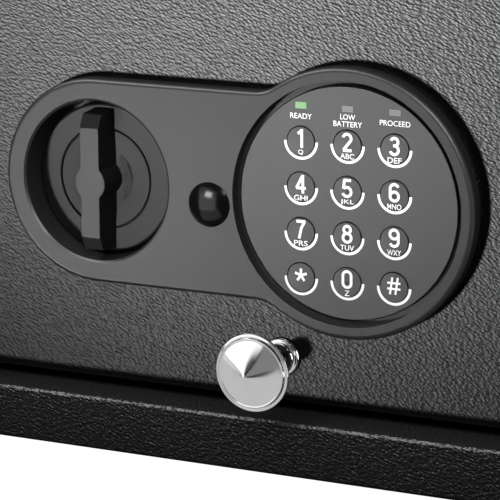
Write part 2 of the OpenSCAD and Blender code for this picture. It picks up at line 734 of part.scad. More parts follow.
module keypad_face() color(plastic_black) on_door(keypad_x) {
    difference() {
        translate([0, 0, keypad_ledge]) {
            cylinder(h = keypad_face_t - face_edge, r = keypad_r);
            translate([0, 0, keypad_face_t - face_edge])
                cylinder(h = face_edge, r1 = keypad_r, r2 = keypad_r - face_edge);
        }
        for (n = [0:11]) translate([key_place(n)[0], key_place(n)[1], keypad_ledge - cut])
            cylinder(h = keypad_face_t + 2 * cut, d = key_d + 2 * key_gap);
        for (c = [-1:1]) translate([c * key_pitch_x, lamp_z, keypad_front])
            cube([lamp_w + 2 * lamp_gap, lamp_h + 2 * lamp_gap, 3 * keypad_face_t], center = true);
    }
    for (a = board_post_angles) rotate([0, 0, a]) translate([board_post_r, 0, board_front])
        cylinder(h = keypad_ledge - board_front, r = board_post_t / 2);
}

board_post_t = 4.4;
board_post_r = board_r - 4;
board_post_angles = [25, 155, 205, 256, 335];

board_back = board_front - board_t;
// The chips' places on the board's back, with their widths, heights and thicknesses
chips = [[-14, -9, 18, 12, 1.8], [8, 12, 9, 7, 1.4]];
connector_t = 4;
low_plug = [10, -26];
low_plug_size = [14, 6];
high_plug = [-14, 29];
high_plug_size = [8, 6];
lead_r = 1;
lead_bend_r = 5;
dome_r = 3;
key_edge = 0.35;

module keypad_board() color("#1f5a35") on_door(keypad_x) {
    translate([0, 0, board_back]) cylinder(h = board_t, r = board_r);
    for (n = [0:11]) translate([key_place(n)[0], key_place(n)[1], board_front])
        cylinder(h = dome_h, r1 = dome_r, r2 = dome_r - 0.8);
    for (chip = chips) translate([chip[0], chip[1], board_back - chip[4]])
        cube([chip[2], chip[3], chip[4]]);
    for (plug = [[low_plug, low_plug_size], [high_plug, high_plug_size]])
        translate([plug[0][0], plug[0][1], board_back - connector_t])
            cube([plug[1][0], plug[1][1], connector_t]);
}

module key(n) color("#242426") on_door(keypad_x) translate([key_place(n)[0], key_place(n)[1], 0])
    rotate_extrude() polygon([
        [0, key_back - key_stem], [2, key_back - key_stem], [2, key_back], [key_flange_r, key_back],
        [key_flange_r, key_back + key_flange_t], [key_d / 2, key_back + key_flange_t],
        [key_d / 2, keypad_front + key_proud - key_edge], [key_d / 2 - key_edge, keypad_front + key_proud],
        [0, keypad_front + key_proud + 0.1]
    ]);

module lamp(column) on_door(keypad_x)
    translate([column * key_pitch_x - lamp_w / 2, lamp_z - lamp_h / 2, board_front])
        cube([lamp_w, lamp_h, keypad_front + slide_gap - board_front]);

module ready_lamp() color("#4ec25a") lamp(-1);

module status_lamps() color("#7b7d80") {
    lamp(0);
    lamp(1);
}

module pull_knob() color(chrome) on_door(0, pull_z) {
    rim_r = pull_d / 2;
    foot_r = pull_foot_d / 2;
    neck_r = foot_r * 0.62;
    difference() {
        rotate_extrude() polygon(concat(
            [[0, 0], [foot_r, 0], [foot_r, 1.2], [foot_r - 0.8, 2]],
            [for (a = [10:10:80]) [neck_r + (foot_r - 1.2 - neck_r) * (1 - sin(a)), 2 + 6 * (1 - cos(a))]],
            [[neck_r, 8], [neck_r + 0.2, pull_rim * 0.45]],
            [for (a = [10:10:80]) [neck_r + 0.2 + (rim_r - 1.4 - neck_r) * (1 - cos(a)),
                                   pull_rim * 0.45 + (pull_rim * 0.5 - 1) * sin(a)]],
            [[rim_r - 0.6, pull_rim - 1.8], [rim_r, pull_rim - 1], [rim_r, pull_rim - 0.3],
             [rim_r - 0.5, pull_rim + 0.2], [rim_r - 1.1, pull_rim + 0.2], [rim_r - 1.5, pull_rim - 0.3],
             [rim_r - 1.9, pull_rim - 0.3], [rim_r - 2.3, pull_rim + 0.3],
             [0.8, pull_rim + pull_cone - 0.1], [0, pull_rim + pull_cone]]
        ));
        translate([0, 0, -cut]) cylinder(h = 10 + cut, d = pull_screw_d);
    }
}

pull_screw_d = 4;
pull_head_h = 2.4;

module pull_knob_screw() color(zinc) on_door(0, pull_z) translate([0, 0, -door_sheet])
    rotate([180, 0, 0]) pan_screw(pull_screw_d, door_sheet + 9, pull_head_h);

barrel_head_r = barrel_r + 1.4;
barrel_head_t = 2;
barrel_back = crank_front - 3;

module on_keylock() on_door(keylock_x, lock_z - keylock_drop) children();

// The cap's dome is part of a ball, and its skirt goes into the housing's hole
module override_cap() color("#1a1a1c") on_keylock() {
    ball_r = (pow(cap_r, 2) + pow(cap_dome, 2)) / (2 * cap_dome);
    translate([0, 0, housing_t + fit_gap]) {
        intersection() {
            translate([0, 0, cap_dome - ball_r]) sphere(ball_r, $fn = 128);
            cylinder(h = cap_dome, r = cap_r - 0.1);
        }
        translate([0, 0, -3]) difference() {
            cylinder(h = 3.2, r = cap_r - 1.7 - fit_gap);
            translate([0, 0, -cut]) cylinder(h = 2.5 + cut, r = cap_r - 3.2);
        }
    }
}

module override_barrel() color(chrome) on_keylock() difference() {
    union() {
        cylinder(h = barrel_head_t, r = barrel_head_r);
        translate([0, 0, barrel_back]) cylinder(h = barrel_head_t - barrel_back, r = barrel_r);
    }
    translate([0, 0, barrel_back - cut])
        cylinder(h = barrel_head_t - barrel_back + 2 * cut, r = plug_r + fit_gap);
}

module override_nut() color(zinc) on_keylock() translate([0, 0, -door_sheet - 3]) difference() {
    cylinder(h = 3, r = barrel_r * 1.5, $fn = 6);
    translate([0, 0, -cut]) cylinder(h = 3 + 2 * cut, r = barrel_r + fit_gap);
}

cam_t = 2;
cam_front = barrel_back - slide_gap;

module override_plug() color("#c9b37a") on_keylock() difference() {
    union() {
        translate([0, 0, cam_front]) cylinder(h = barrel_head_t - slide_gap - cam_front, r = plug_r);
        translate([0, 0, cam_front - cam_t]) linear_extrude(cam_t) square(plug_r, center = true);
    }
    translate([-0.7, -3.5, barrel_head_t - 6]) cube([1.4, 7, 6]);
}

module override_cam() color(zinc) on_keylock() translate([0, 0, cam_front - cam_t])
    linear_extrude(cam_t) difference() {
        union() {
            circle(plug_r);
            translate([-plug_r * 0.8, -cam_len]) square([plug_r * 1.6, cam_len]);
        }
        square(plug_r, center = true);
    }

bush_r = shaft_d / 2 + 2;

module knob_bush() color("#d9d6c8") on_door(knob_x) difference() {
    union() {
        translate([0, 0, bush_back]) cylinder(h = dish_floor - bush_back, r = bush_r);
        translate([0, 0, dish_floor]) cylinder(h = 0.8, r = bush_r + 2.5);
    }
    translate([0, 0, bush_back - cut]) cylinder(h = dish_floor - bush_back + 3, r = shaft_d / 2 + fit_gap);
}

socket_w = shaft_d * 0.7;
socket_depth = 3;

// The grip bar seen from its side: X is up along the bar and Y is out from the drawer front
module grip_side() {
    slope_run = 5.4;
    slope_drop = 2.7;
    half = grip_len / 2;
    top = knob_front + grip_h;
    polygon([
        [-half - slope_run - 1, knob_front - 1], [-half - slope_run, top - slope_drop], [-half, top],
        [half, top], [half + slope_run, top - slope_drop], [half + slope_run + 1, knob_front - 1]
    ]);
}

module turn_knob() color(plastic_black) on_door(knob_x) difference() {
    union() {
        knob_disc();
        translate([-grip_w / 2, 0, 0]) rotate([90, 0, 90]) linear_extrude(grip_w) grip_side();
        translate([0, 0, knob_front - 1.5]) cylinder(h = grip_h + 1.5, r = grip_boss_r);
    }
    translate([0, 0, knob_back + socket_depth / 2 - cut / 2])
        cube([socket_w, socket_w, socket_depth + cut], center = true);
}

// The disc is slightly hollow inside its groove, and its rim is rounded
module knob_disc() {
    groove = 0.5;
    groove_depth = 0.9;
    hollow = 0.9;
    rotate_extrude() polygon([
        [0, knob_back], [knob_r - 0.8, knob_back], [knob_r, knob_back + 0.8], [knob_r, knob_front - 1],
        [knob_r - 0.3, knob_front - 0.3], [knob_r - 1, knob_front],
        [knob_groove_r + groove, knob_front], [knob_groove_r + groove / 2, knob_front - groove_depth],
        [knob_groove_r - groove / 2, knob_front - groove_depth], [knob_groove_r - groove, knob_front - 0.1],
        [knob_groove_r * 0.6, knob_front - hollow], [0, knob_front - hollow]
    ]);
}

// The shaft's square ends carry the knob and the crank plate, and a riveted head holds it behind
module knob_shaft() color(zinc) on_door(knob_x) {
    translate([0, 0, crank_front]) cylinder(h = knob_back - crank_front, d = shaft_d);
    translate([0, 0, knob_back + socket_depth / 2]) cube([socket_w, socket_w, socket_depth], center = true);
    translate([0, 0, (crank_front + crank_back) / 2]) cube([socket_w, socket_w, link_t], center = true);
    translate([0, 0, crank_back - rivet_t]) cylinder(h = rivet_t, d1 = shaft_d - 2, d2 = shaft_d);
}

module crank_plate() color(zinc) on_door(knob_x) {
    translate([0, 0, crank_back]) linear_extrude(link_t) difference() {
        circle(crank_plate_r);
        square(socket_w, center = true);
        for (a = [0, 90]) rotate([0, 0, a])
            translate([crank_plate_r - notch_depth, -plunger_d / 2 - notch_gap])
                square([notch_depth + cut, plunger_d + 2 * notch_gap]);
    }
    for (a = [45, 225]) rotate([0, 0, a]) translate([crank_r, 0, crank_front])
        cylinder(h = link_t + seat_gap + 0.4, d = crank_pin_d);
}

// The guide studs' places, from the drawer's middle and the lock's height
stud_places = concat(
    [for (sx = [-1, 1], sz = [-1, 1]) [sx * stud_x, sz * stud_rise]],
    [[bar_stud_x, link_bar_z]]
);

module guide_studs() color(zinc) on_door(0) for (p = stud_places) translate([p[0], p[1], 0]) {
    translate([0, 0, plate_front + slide_gap])
        cylinder(h = -door_sheet - plate_front - slide_gap, d = stud_d + 3);
    translate([0, 0, plate_back - slide_gap - 1.2]) cylinder(h = link_t + 2 * slide_gap + 1.2, d = stud_d);
    translate([0, 0, plate_back - slide_gap - 1]) difference() {
        cylinder(h = 1, d = stud_d + 4);
        translate([0, 0, -cut]) cylinder(h = 1 + 2 * cut, d = stud_d - 1);
    }
}

// A slot for the crank pin, upright, from the pin's height at the ends of the travel to its height half-way
module pin_slot() {
    translate([0, pin_off]) rotate([0, 0, 90]) slot_2d(crank_r - pin_off, crank_pin_d / 2 + pin_slot_gap);
}

// A guide slot that lets the plate go outwards, to +X, from its stud
module guide_slot() translate([-bolt_travel, 0]) slot_2d(bolt_travel, stud_d / 2 + slot_gap);

// The upright plate beside the bolts, on the right, with its folded flange
module spine_2d() difference() {
    translate([spine_in_x, -spine_h / 2]) square([spine_w, spine_h]);
    for (s = [-1, 1]) translate([stud_x, s * stud_rise]) guide_slot();
    for (s = [-1, 1]) translate([spine_in_x + spine_w / 2, s * bolt_pitch / 2]) circle(5);
}

module bolt_flange() {
    depth = plate_front - bolt_axis + bolt_d / 2 + 1;
    difference() {
        translate([bolt_flange_x - link_t, -spine_h / 2, plate_front - depth])
            cube([link_t, spine_h, depth]);
        for (n = [-1:1]) translate([bolt_flange_x - link_t - cut, n * bolt_pitch, bolt_axis])
            rotate([0, 90, 0]) cylinder(h = link_t + 2 * cut, r = spigot_r + fit_gap);
    }
}

spigot_r = 3;
neck_low = shaft_d / 2 + 0.6;
neck_top = crank_r + crank_pin_d / 2 + pin_slot_gap + 2.4;

module left_bolt_plate() color(zinc) on_door(0) {
    arm_right = knob_x + pin_off + crank_pin_d / 2 + 3;
    translate([0, 0, plate_back]) linear_extrude(link_t) difference() {
        union() {
            mirror([1, 0]) spine_2d();
            translate([-spine_in_x - cut / 2, neck_low])
                square([arm_right + spine_in_x + cut / 2, neck_top - neck_low]);
        }
        translate([knob_x + pin_off, 0]) pin_slot();
    }
    mirror([1, 0, 0]) bolt_flange();
}

module right_bolt_plate() color(zinc) on_door(0) {
    arm_left = knob_x - pin_off - crank_pin_d / 2 - 3;
    bar_low = link_bar_z - link_bar_h / 2;
    translate([0, 0, plate_back]) linear_extrude(link_t) difference() {
        union() {
            spine_2d();
            translate([arm_left, bar_low]) square([crank_pin_d + 6, -neck_low - bar_low]);
            translate([arm_left, bar_low]) square([spine_in_x + cut / 2 - arm_left, link_bar_h]);
        }
        translate([knob_x - pin_off, 0]) mirror([0, 1]) pin_slot();
        translate([bar_stud_x, link_bar_z]) guide_slot();
    }
    bolt_flange();
}

// Three bolts, on the right: each has a riveted spigot through the flange and a rounded tip
module bolts() on_door(0) for (n = [-1:1])
    translate([bolt_flange_x, n * bolt_pitch, bolt_axis]) rotate([0, 90, 0]) {
        tip = 1.2;
        length = bolt_tip_x - bolt_flange_x;
        cylinder(h = length - tip, d = bolt_d);
        translate([0, 0, length - tip]) cylinder(h = tip, d1 = bolt_d, d2 = bolt_d - 2 * tip);
        translate([0, 0, -link_t]) cylinder(h = link_t, r = spigot_r);
        translate([0, 0, -link_t - rivet_t]) cylinder(h = rivet_t, r1 = rivet_r - 1, r2 = rivet_r);
    }

module left_bolts() color(chrome) mirror([1, 0, 0]) bolts();

module right_bolts() color(chrome) bolts();

module at_solenoid() translate([knob_x, plunger_y, solenoid_z]) children();

// The frame is a folded steel channel on two posts that stand on the back of the drawer front
module solenoid_frame() color(zinc) at_solenoid() {
    half = solenoid_w / 2;
    post_len = plunger_y - half - door_back_y;
    post_r = 3;
    post_rise = 11;
    post_drop = 5;
    difference() {
        translate([-half, -half, 0]) cube([solenoid_w, solenoid_w, solenoid_h]);
        translate([-half - cut, -half + solenoid_plate, solenoid_plate])
            cube([solenoid_w + 2 * cut, solenoid_w, solenoid_h - 2 * solenoid_plate]);
        translate([0, 0, -cut]) cylinder(h = solenoid_h + 2 * cut, r = plunger_d / 2 + slide_gap);
    }
    for (z = [post_rise, solenoid_h - post_drop]) translate([0, -half, z]) rotate([90, 0, 0])
        cylinder(h = post_len, r = post_r);
}

module solenoid_coil() color("#7a3b22") at_solenoid() translate([0, 0, solenoid_plate]) rotate_extrude() {
    height = solenoid_h - 2 * solenoid_plate;
    cheek = 1.2;
    inner = plunger_d / 2 + slide_gap;
    for (y = [0, height - cheek]) translate([inner, y]) square([cheek_r - inner, cheek]);
    translate([inner, 0]) square([coil_r - inner, height]);
}

module solenoid_plunger() color(chrome) translate([knob_x, plunger_y, 0]) {
    translate([0, 0, plunger_tip_z])
        cylinder(h = solenoid_z + solenoid_h + 6 - plunger_tip_z, d = plunger_d);
    translate([0, 0, collar_z]) cylinder(h = collar_t, r = collar_r);
}

// The spring is one round wire, swept along its turns between the collar and the frame
module solenoid_spring() color(zinc) translate([knob_x, plunger_y, 0]) {
    wire_r = spring_wire_d / 2;
    coil_mean_r = plunger_d / 2 + seat_gap + wire_r;
    low = collar_z + collar_t + wire_r + fit_gap;
    high = solenoid_z - wire_r - fit_gap;
    steps = 16 * spring_turns;
    sides = 6;
    rings = [for (i = [0:steps], j = [0:sides - 1])
        let (turn = 360 * i / 16, side = 360 * j / sides, r = coil_mean_r + wire_r * cos(side))
        [r * cos(turn), r * sin(turn), low + (high - low) * i / steps + wire_r * sin(side)]];
    walls = [for (i = [0:steps - 1], j = [0:sides - 1], half = [0, 1])
        let (a = i * sides + j, b = i * sides + (j + 1) % sides)
        half == 0 ? [a, b, b + sides] : [a, b + sides, a + sides]];
    ends = [[for (j = [sides - 1:-1:0]) j], [for (j = [0:sides - 1]) steps * sides + j]];
    polyhedron(points = rings, faces = concat(walls, ends));
}

module battery_box() color(plastic_black) facing(battery_x, lip_back_y, battery_z) {
    depth = lip_back_y - battery_front_y;
    difference() {
        linear_extrude(depth)
            rounded_rect(battery_in_w + 2 * battery_wall, battery_in_h + 2 * battery_wall, 2);
        translate([0, 0, -cut]) linear_extrude(depth - battery_wall + cut)
            square([battery_in_w, battery_in_h], center = true);
    }
    for (n = [1:battery_count - 1])
        translate([-battery_in_w / 2 + n * cell_pitch + 0.1, -battery_in_h / 2, depth - battery_wall - 5])
            cube([0.2, battery_in_h, 5]);
}

module batteries() color("#8a6a2f") for (n = [0:battery_count - 1])
    translate([battery_x - battery_in_w / 2 + 0.2 + (n + 0.5) * cell_pitch, battery_y, battery_z])
        rotate([n % 2 * 180, 0, 0]) translate([0, 0, -battery_len / 2 + 0.5]) {
            cylinder(h = battery_len - 1.5, d = battery_d);
            translate([0, 0, battery_len - 1.5]) cylinder(h = 1.5, d = 5.5);
        }

module battery_cover() color(plastic_black) facing(battery_x, cover_back_y + 1.2, battery_z) {
    difference() {
        linear_extrude(1.2 - fit_gap) rounded_rect(battery_in_w + 5, battery_in_h + 5, 2.5);
        for (n = [-2:2]) translate([n * 3, -battery_in_h / 2 + 7, -cut]) linear_extrude(cut + 0.5)
            square([1.2, 8], center = true);
    }
    translate([0, 0, 1.2 - fit_gap]) linear_extrude(cover_t)
        square([battery_in_w - 0.6, battery_in_h - 0.6], center = true);
}

module reset_button() color("#b3261e") facing(reset_x, cover_back_y + 2.2, battery_z) {
    cylinder(h = cover_t + 2.2, d = reset_d);
    translate([0, 0, cover_t + 2.2]) cylinder(h = 0.8, d = reset_d + 2);
}

module reset_switch() color("#3b3d40") facing(reset_x, lip_back_y, battery_z) {
    low = 0.8 + reset_travel + slide_gap;
    translate([-7, -7, low]) cube([14, 14, reset_switch_h]);
    for (x = [-7, 5]) translate([x, -7, 0]) cube([2, 14, low]);
}

// A lead is drawn as straights and quarter bends, each carrying the next at its end, along its own Z
module lead_straight(length) {
    cylinder(h = length, r = lead_r);
    translate([0, 0, length]) children();
}

module lead_bend(turn) rotate([0, 0, turn]) {
    translate([lead_bend_r, 0, 0]) rotate([90, 0, 0]) rotate([0, 0, 90])
        rotate_extrude(angle = 90) translate([lead_bend_r, 0]) circle(lead_r);
    translate([lead_bend_r, 0, lead_bend_r]) rotate([0, 90, 0]) children();
}

// Two leads run from the board to the battery compartment, and two run past the board's top to the coil
module wiring() color("#a33228") {
    low_y = door_y - board_back + connector_t / 2;
    low_z = lock_z + low_plug[1] + low_plug_size[1];
    for (n = [0, 1]) {
        translate([keypad_x + low_plug[0] + 5 + 4 * n, low_y, low_z])
            lead_straight(8) lead_bend(90) lead_straight(battery_front_y - low_y - lead_bend_r);
        translate([keypad_x + high_plug[0] + 2 + 4 * n, low_y, lock_z + high_plug[1] + high_plug_size[1]])
            coil_lead(low_y, keypad_x + high_plug[0] + 2 + 4 * n, n);
    }
}

module coil_lead(start_y, start_x, n) {
    turn_x = knob_x + coil_r + lead_bend_r * 2 + 4;
    rise = solenoid_z + solenoid_h / 2 - lock_z - high_plug[1] - high_plug_size[1] - lead_bend_r + 3 * n;
    lead_straight(rise) lead_bend(180) lead_straight(start_x - turn_x - lead_bend_r)
        lead_bend(-90) lead_straight(plunger_y - start_y - 2 * lead_bend_r)
        lead_bend(180) lead_straight(turn_x - 2 * lead_bend_r - knob_x - coil_r);
}

case_shell();
back_panel();
front_frame();
runner_brackets();
case_runners();
case_runner_screws();
rear_buffers();
front_panel();
mechanism_cover();
cover_screws();
drawer_tray();
drawer_mat();
drawer_runners();
drawer_runner_screws();
runner_cages();
runner_balls();
lock_housing();
housing_screws();
keypad_face();
keypad_board();
key(0);  // key_1
key(1);  // key_2
key(2);  // key_3
key(3);  // key_4
key(4);  // key_5
key(5);  // key_6
key(6);  // key_7
key(7);  // key_8
key(8);  // key_9
key(9);  // key_star
key(10);  // key_0
key(11);  // key_hash
ready_lamp();
status_lamps();
pull_knob();
pull_knob_screw();
override_cap();
override_barrel();
override_nut();
override_plug();
override_cam();
turn_knob();
knob_bush();
knob_shaft();
crank_plate();
guide_studs();
left_bolt_plate();
left_bolts();
right_bolt_plate();
right_bolts();
solenoid_frame();
solenoid_coil();
solenoid_plunger();
solenoid_spring();
battery_box();
batteries();
battery_cover();
reset_button();
reset_switch();
wiring();
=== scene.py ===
import json
import math
import bmesh
import bpy
from mathutils import Matrix, Vector


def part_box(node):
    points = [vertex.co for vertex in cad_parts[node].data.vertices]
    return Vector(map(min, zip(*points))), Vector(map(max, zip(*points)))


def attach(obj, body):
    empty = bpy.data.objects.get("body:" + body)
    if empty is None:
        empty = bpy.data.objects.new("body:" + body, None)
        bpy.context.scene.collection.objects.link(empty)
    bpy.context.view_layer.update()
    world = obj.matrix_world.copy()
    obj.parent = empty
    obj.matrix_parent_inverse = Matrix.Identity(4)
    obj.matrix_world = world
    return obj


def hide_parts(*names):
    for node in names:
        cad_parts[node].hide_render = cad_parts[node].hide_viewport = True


# A drawer safe: its lock's front, its bright pull knob and the finishes of all its parts, in metres in the
# CAD frame

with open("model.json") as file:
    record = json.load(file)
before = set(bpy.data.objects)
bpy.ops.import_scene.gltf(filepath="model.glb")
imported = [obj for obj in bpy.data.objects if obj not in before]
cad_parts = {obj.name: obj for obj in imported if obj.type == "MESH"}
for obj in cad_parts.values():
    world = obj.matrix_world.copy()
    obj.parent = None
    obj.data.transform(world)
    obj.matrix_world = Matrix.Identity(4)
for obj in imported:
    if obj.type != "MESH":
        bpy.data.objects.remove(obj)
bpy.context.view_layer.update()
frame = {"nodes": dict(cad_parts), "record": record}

MM = 0.001

# Places of the lock's front, the same as in the part's source
DOOR_Y = -0.148
LOCK_Z = 0.1101
KEYPAD_X = 0.0303
KEYLOCK_X, KEYLOCK_Z = -0.029, 0.1051
PULL_Z = 0.0442
KEYPAD_FRONT = 0.0033
KEY_STANDS_OUT = 0.00032
KEY_PITCH = (0.020, 0.01823)
TOP_KEYS_RISE = 0.02335

# The photograph's camera: where it stands, in degrees to the right and above and in metres from the point
# that it looks at, how far it leans, and its focal length in pixels of a picture 500 pixels wide
CAMERA_AZIMUTH, CAMERA_ELEVATION, CAMERA_ROLL = 26.51, 13.06, -0.36
CAMERA_AIM = (-0.01392, -0.148, 0.08674)
CAMERA_DISTANCE = 1.11846
FOCAL_PIXELS = 2800.44
PICTURE_PIXELS = 500
FILM_WIDTH = 36


# The way from the safe's front towards a camera or a lamp, from degrees to the right and above
def way_to(azimuth, elevation):
    a, e = math.radians(azimuth), math.radians(elevation)
    return Vector((math.sin(a) * math.cos(e), -math.cos(a) * math.cos(e), math.sin(e)))


# Puts the camera where the photograph's stood
def place_camera():
    azimuth, roll = math.radians(CAMERA_AZIMUTH), math.radians(CAMERA_ROLL)
    back = way_to(CAMERA_AZIMUTH, CAMERA_ELEVATION)
    right = Vector((math.cos(azimuth), math.sin(azimuth), 0))
    up = back.cross(right)
    rolled_right = right * math.cos(roll) + up * math.sin(roll)
    rolled_up = up * math.cos(roll) - right * math.sin(roll)
    turn = Matrix((rolled_right, rolled_up, back)).transposed()
    camera = bpy.data.objects.new("camera", bpy.data.cameras.new("camera"))
    camera.data.sensor_width = FILM_WIDTH
    camera.data.lens = FOCAL_PIXELS / PICTURE_PIXELS * FILM_WIDTH
    camera.data.clip_start, camera.data.clip_end = 0.05, 30
    camera.matrix_world = Matrix.Translation(Vector(CAMERA_AIM) + back * CAMERA_DISTANCE) @ turn.to_4x4()
    bpy.context.scene.collection.objects.link(camera)
    bpy.context.scene.camera = camera


place_camera()


# An sRGB hex colour as the linear colour that a shader takes
def linear(hex_colour, alpha=1.0):
    parts = [int(hex_colour[i:i + 2], 16) / 255 for i in (1, 3, 5)]
    return tuple(c / 12.92 if c < 0.04045 else ((c + 0.055) / 1.055) ** 2.4 for c in parts) + (alpha,)


# The scale of a pattern whose grains, folds or clouds are so many millimetres wide
def scale_for(width_mm):
    return 1000 / width_mm


# Adds a node with its settings and links: values go on its sockets, and links join its sockets to others
def add_node(tree, kind, values=(), links=(), **settings):
    node = tree.nodes.new("ShaderNode" + kind)
    for name, value in settings.items():
        setattr(node, name, value)
    for socket, value in dict(values).items():
        node.inputs[socket].default_value = value
    for socket, source in dict(links).items():
        tree.links.new(source, node.inputs[socket])
    return node


# A new material, its tree and its shader, with the shader's values set on its own sockets
def new_finish(name, values):
    finish = bpy.data.materials.new(name)
    finish.use_nodes = True
    tree = finish.node_tree
    tree.nodes.clear()
    shader = add_node(tree, "BsdfPrincipled", values)
    add_node(tree, "OutputMaterial", links={"Surface": shader.outputs["BSDF"]})
    return finish, tree, shader


# The place on the safe, in metres, that a pattern is drawn by
def object_place(tree):
    return add_node(tree, "TexCoord").outputs["Object"]


# Wrinkle powder coat on steel: polyester powder that crawls as it cures, into worm-like folds nearly 1 mm
# wide and about 2 mm long that lean one way, like leather. It is a glossy paint, so the folds' slopes catch
# the light. Its colour also carries painted shade in the folds' valleys and painted light on their crests.
FOLD_WIDTH = 0.8929
FOLD_STRETCH = 2.0
FOLD_LEAN = math.radians(24)
DRIFT_WIDTH = 2.222
DRIFT_REACH = 0.0007


def wrinkle_coat(name, painted_valley_shade, painted_crest_light, relief, roughness, sheen):
    finish, tree, shader = new_finish(name, {"IOR": 1.5, "Specular IOR Level": sheen})
    place = object_place(tree)
    drift = add_node(tree, "TexNoise", {"Scale": scale_for(DRIFT_WIDTH), "Detail": 1.0, "Roughness": 0.5},
                     {"Vector": place})
    warped = add_node(tree, "MixRGB", {"Fac": DRIFT_REACH},
                      {"Color1": place, "Color2": drift.outputs["Color"]}, blend_type="ADD")
    slant = add_node(tree, "Mapping", {"Rotation": (0, FOLD_LEAN, 0), "Scale": (FOLD_STRETCH, 1, 1)},
                     {"Vector": warped.outputs["Color"]}, vector_type="TEXTURE")
    folds = add_node(tree, "TexVoronoi", {"Scale": scale_for(FOLD_WIDTH), "Smoothness": 0.5},
                     {"Vector": slant.outputs["Vector"]}, feature="SMOOTH_F1")
    worms = add_node(tree, "MapRange", {"From Min": 0.95, "From Max": 0.0},
                     {"Value": folds.outputs["Distance"]})
    bump = add_node(tree, "Bump", {"Strength": 1.0, "Distance": relief}, {"Height": worms.outputs["Result"]})
    # The colour follows the fold height: painted shade darkens the valleys and painted light brightens the
    # crests
    tint = add_node(tree, "MixRGB", {"Color1": linear(painted_valley_shade), "Color2": linear(painted_crest_light)},
                    {"Fac": worms.outputs["Result"]})
    gloss = add_node(tree, "MapRange", {"To Min": roughness + 0.08, "To Max": roughness - 0.06},
                     {"Value": worms.outputs["Result"]})
    tree.links.new(tint.outputs["Color"], shader.inputs["Base Color"])
    tree.links.new(gloss.outputs["Result"], shader.inputs["Roughness"])
    tree.links.new(bump.outputs["Normal"], shader.inputs["Normal"])
    return finish


# Moulded ABS with a spark-eroded mould texture: satin black with a fine grain, and a faint cloud in its
# colour from the way that the plastic flowed
GRAIN_WIDTH = 0.3125
FLOW_WIDTH = 33.33
ABS_IOR = 1.53


def moulded_abs(name, colour, roughness, relief, sheen):
    finish, tree, shader = new_finish(name, {"Roughness": roughness, "IOR": ABS_IOR,
                                             "Specular IOR Level": sheen})
    place = object_place(tree)
    grain = add_node(tree, "TexNoise", {"Scale": scale_for(GRAIN_WIDTH), "Detail": 2, "Roughness": 0.55},
                     {"Vector": place})
    cloud = add_node(tree, "TexNoise", {"Scale": scale_for(FLOW_WIDTH), "Detail": 2}, {"Vector": place})
    shade = add_node(tree, "MapRange", {"From Min": 0.3, "From Max": 0.7, "To Min": 0.93, "To Max": 1.07},
                     {"Value": cloud.outputs["Fac"]})
    tint = add_node(tree, "HueSaturation", {"Color": linear(colour)}, {"Value": shade.outputs["Result"]})
    bump = add_node(tree, "Bump", {"Strength": 0.5, "Distance": relief}, {"Height": grain.outputs["Fac"]})
    tree.links.new(tint.outputs["Color"], shader.inputs["Base Color"])
    tree.links.new(bump.outputs["Normal"], shader.inputs["Normal"])
    return finish


# Moulded ABS of the knob: dull on its disc, which lies deeper than the panel, and a little shinier on the
# bar, where fingers polish it
KNOB_GRAIN_WIDTH = 0.3846
KNOB_SHEEN = 0.36
DULL_DEPTH = 0.006


def handled_abs(name, colour, dull, shiny):
    finish, tree, shader = new_finish(name, {"Base Color": linear(colour), "IOR": ABS_IOR,
                                             "Specular IOR Level": KNOB_SHEEN})
    place = object_place(tree)
    grain = add_node(tree, "TexNoise", {"Scale": scale_for(KNOB_GRAIN_WIDTH), "Detail": 2, "Roughness": 0.55},
                     {"Vector": place})
    bump = add_node(tree, "Bump", {"Strength": 0.6, "Distance": 0.00005}, {"Height": grain.outputs["Fac"]})
    depth = add_node(tree, "SeparateXYZ", links={"Vector": place})
    rough = add_node(tree, "MapRange", {"From Min": DOOR_Y + DULL_DEPTH, "From Max": DOOR_Y, "To Min": dull,
                                        "To Max": shiny}, {"Value": depth.outputs["Y"]})
    tree.links.new(rough.outputs["Result"], shader.inputs["Roughness"])
    tree.links.new(bump.outputs["Normal"], shader.inputs["Normal"])
    return finish


# Zinc-plated sheet steel: pale grey with a faint crystal mottle, half dull. Turned brass has the same
# mottle, in gold.
CRYSTAL_WIDTH = 3.846


def zinc_plate(name, colour, roughness):
    finish, tree, shader = new_finish(name, {"Metallic": 1.0})
    place = object_place(tree)
    mottle = add_node(tree, "TexNoise", {"Scale": scale_for(CRYSTAL_WIDTH), "Detail": 3, "Roughness": 0.6},
                      {"Vector": place})
    tint = add_node(tree, "MixRGB", {"Color1": linear(colour), "Color2": linear("#8f9296")},
                    {"Fac": mottle.outputs["Fac"]})
    rough = add_node(tree, "MapRange", {"To Min": roughness - 0.08, "To Max": roughness + 0.1},
                     {"Value": mottle.outputs["Fac"]})
    tree.links.new(tint.outputs["Color"], shader.inputs["Base Color"])
    tree.links.new(rough.outputs["Result"], shader.inputs["Roughness"])
    return finish


# Bright nickel or chromium on turned metal: a mirror, dulled here and there by fine wiping marks
WIPE_WIDTH = 2.381


def bright_plate(name, colour, roughness):
    finish, tree, shader = new_finish(name, {"Base Color": linear(colour), "Metallic": 1.0})
    place = object_place(tree)
    wipes = add_node(tree, "TexNoise", {"Scale": scale_for(WIPE_WIDTH), "Detail": 3, "Roughness": 0.7},
                     {"Vector": place})
    rough = add_node(tree, "MapRange", {"From Min": 0.35, "From Max": 0.75, "To Min": roughness,
                                        "To Max": roughness + 0.06}, {"Value": wipes.outputs["Fac"]})
    tree.links.new(rough.outputs["Result"], shader.inputs["Roughness"])
    return finish


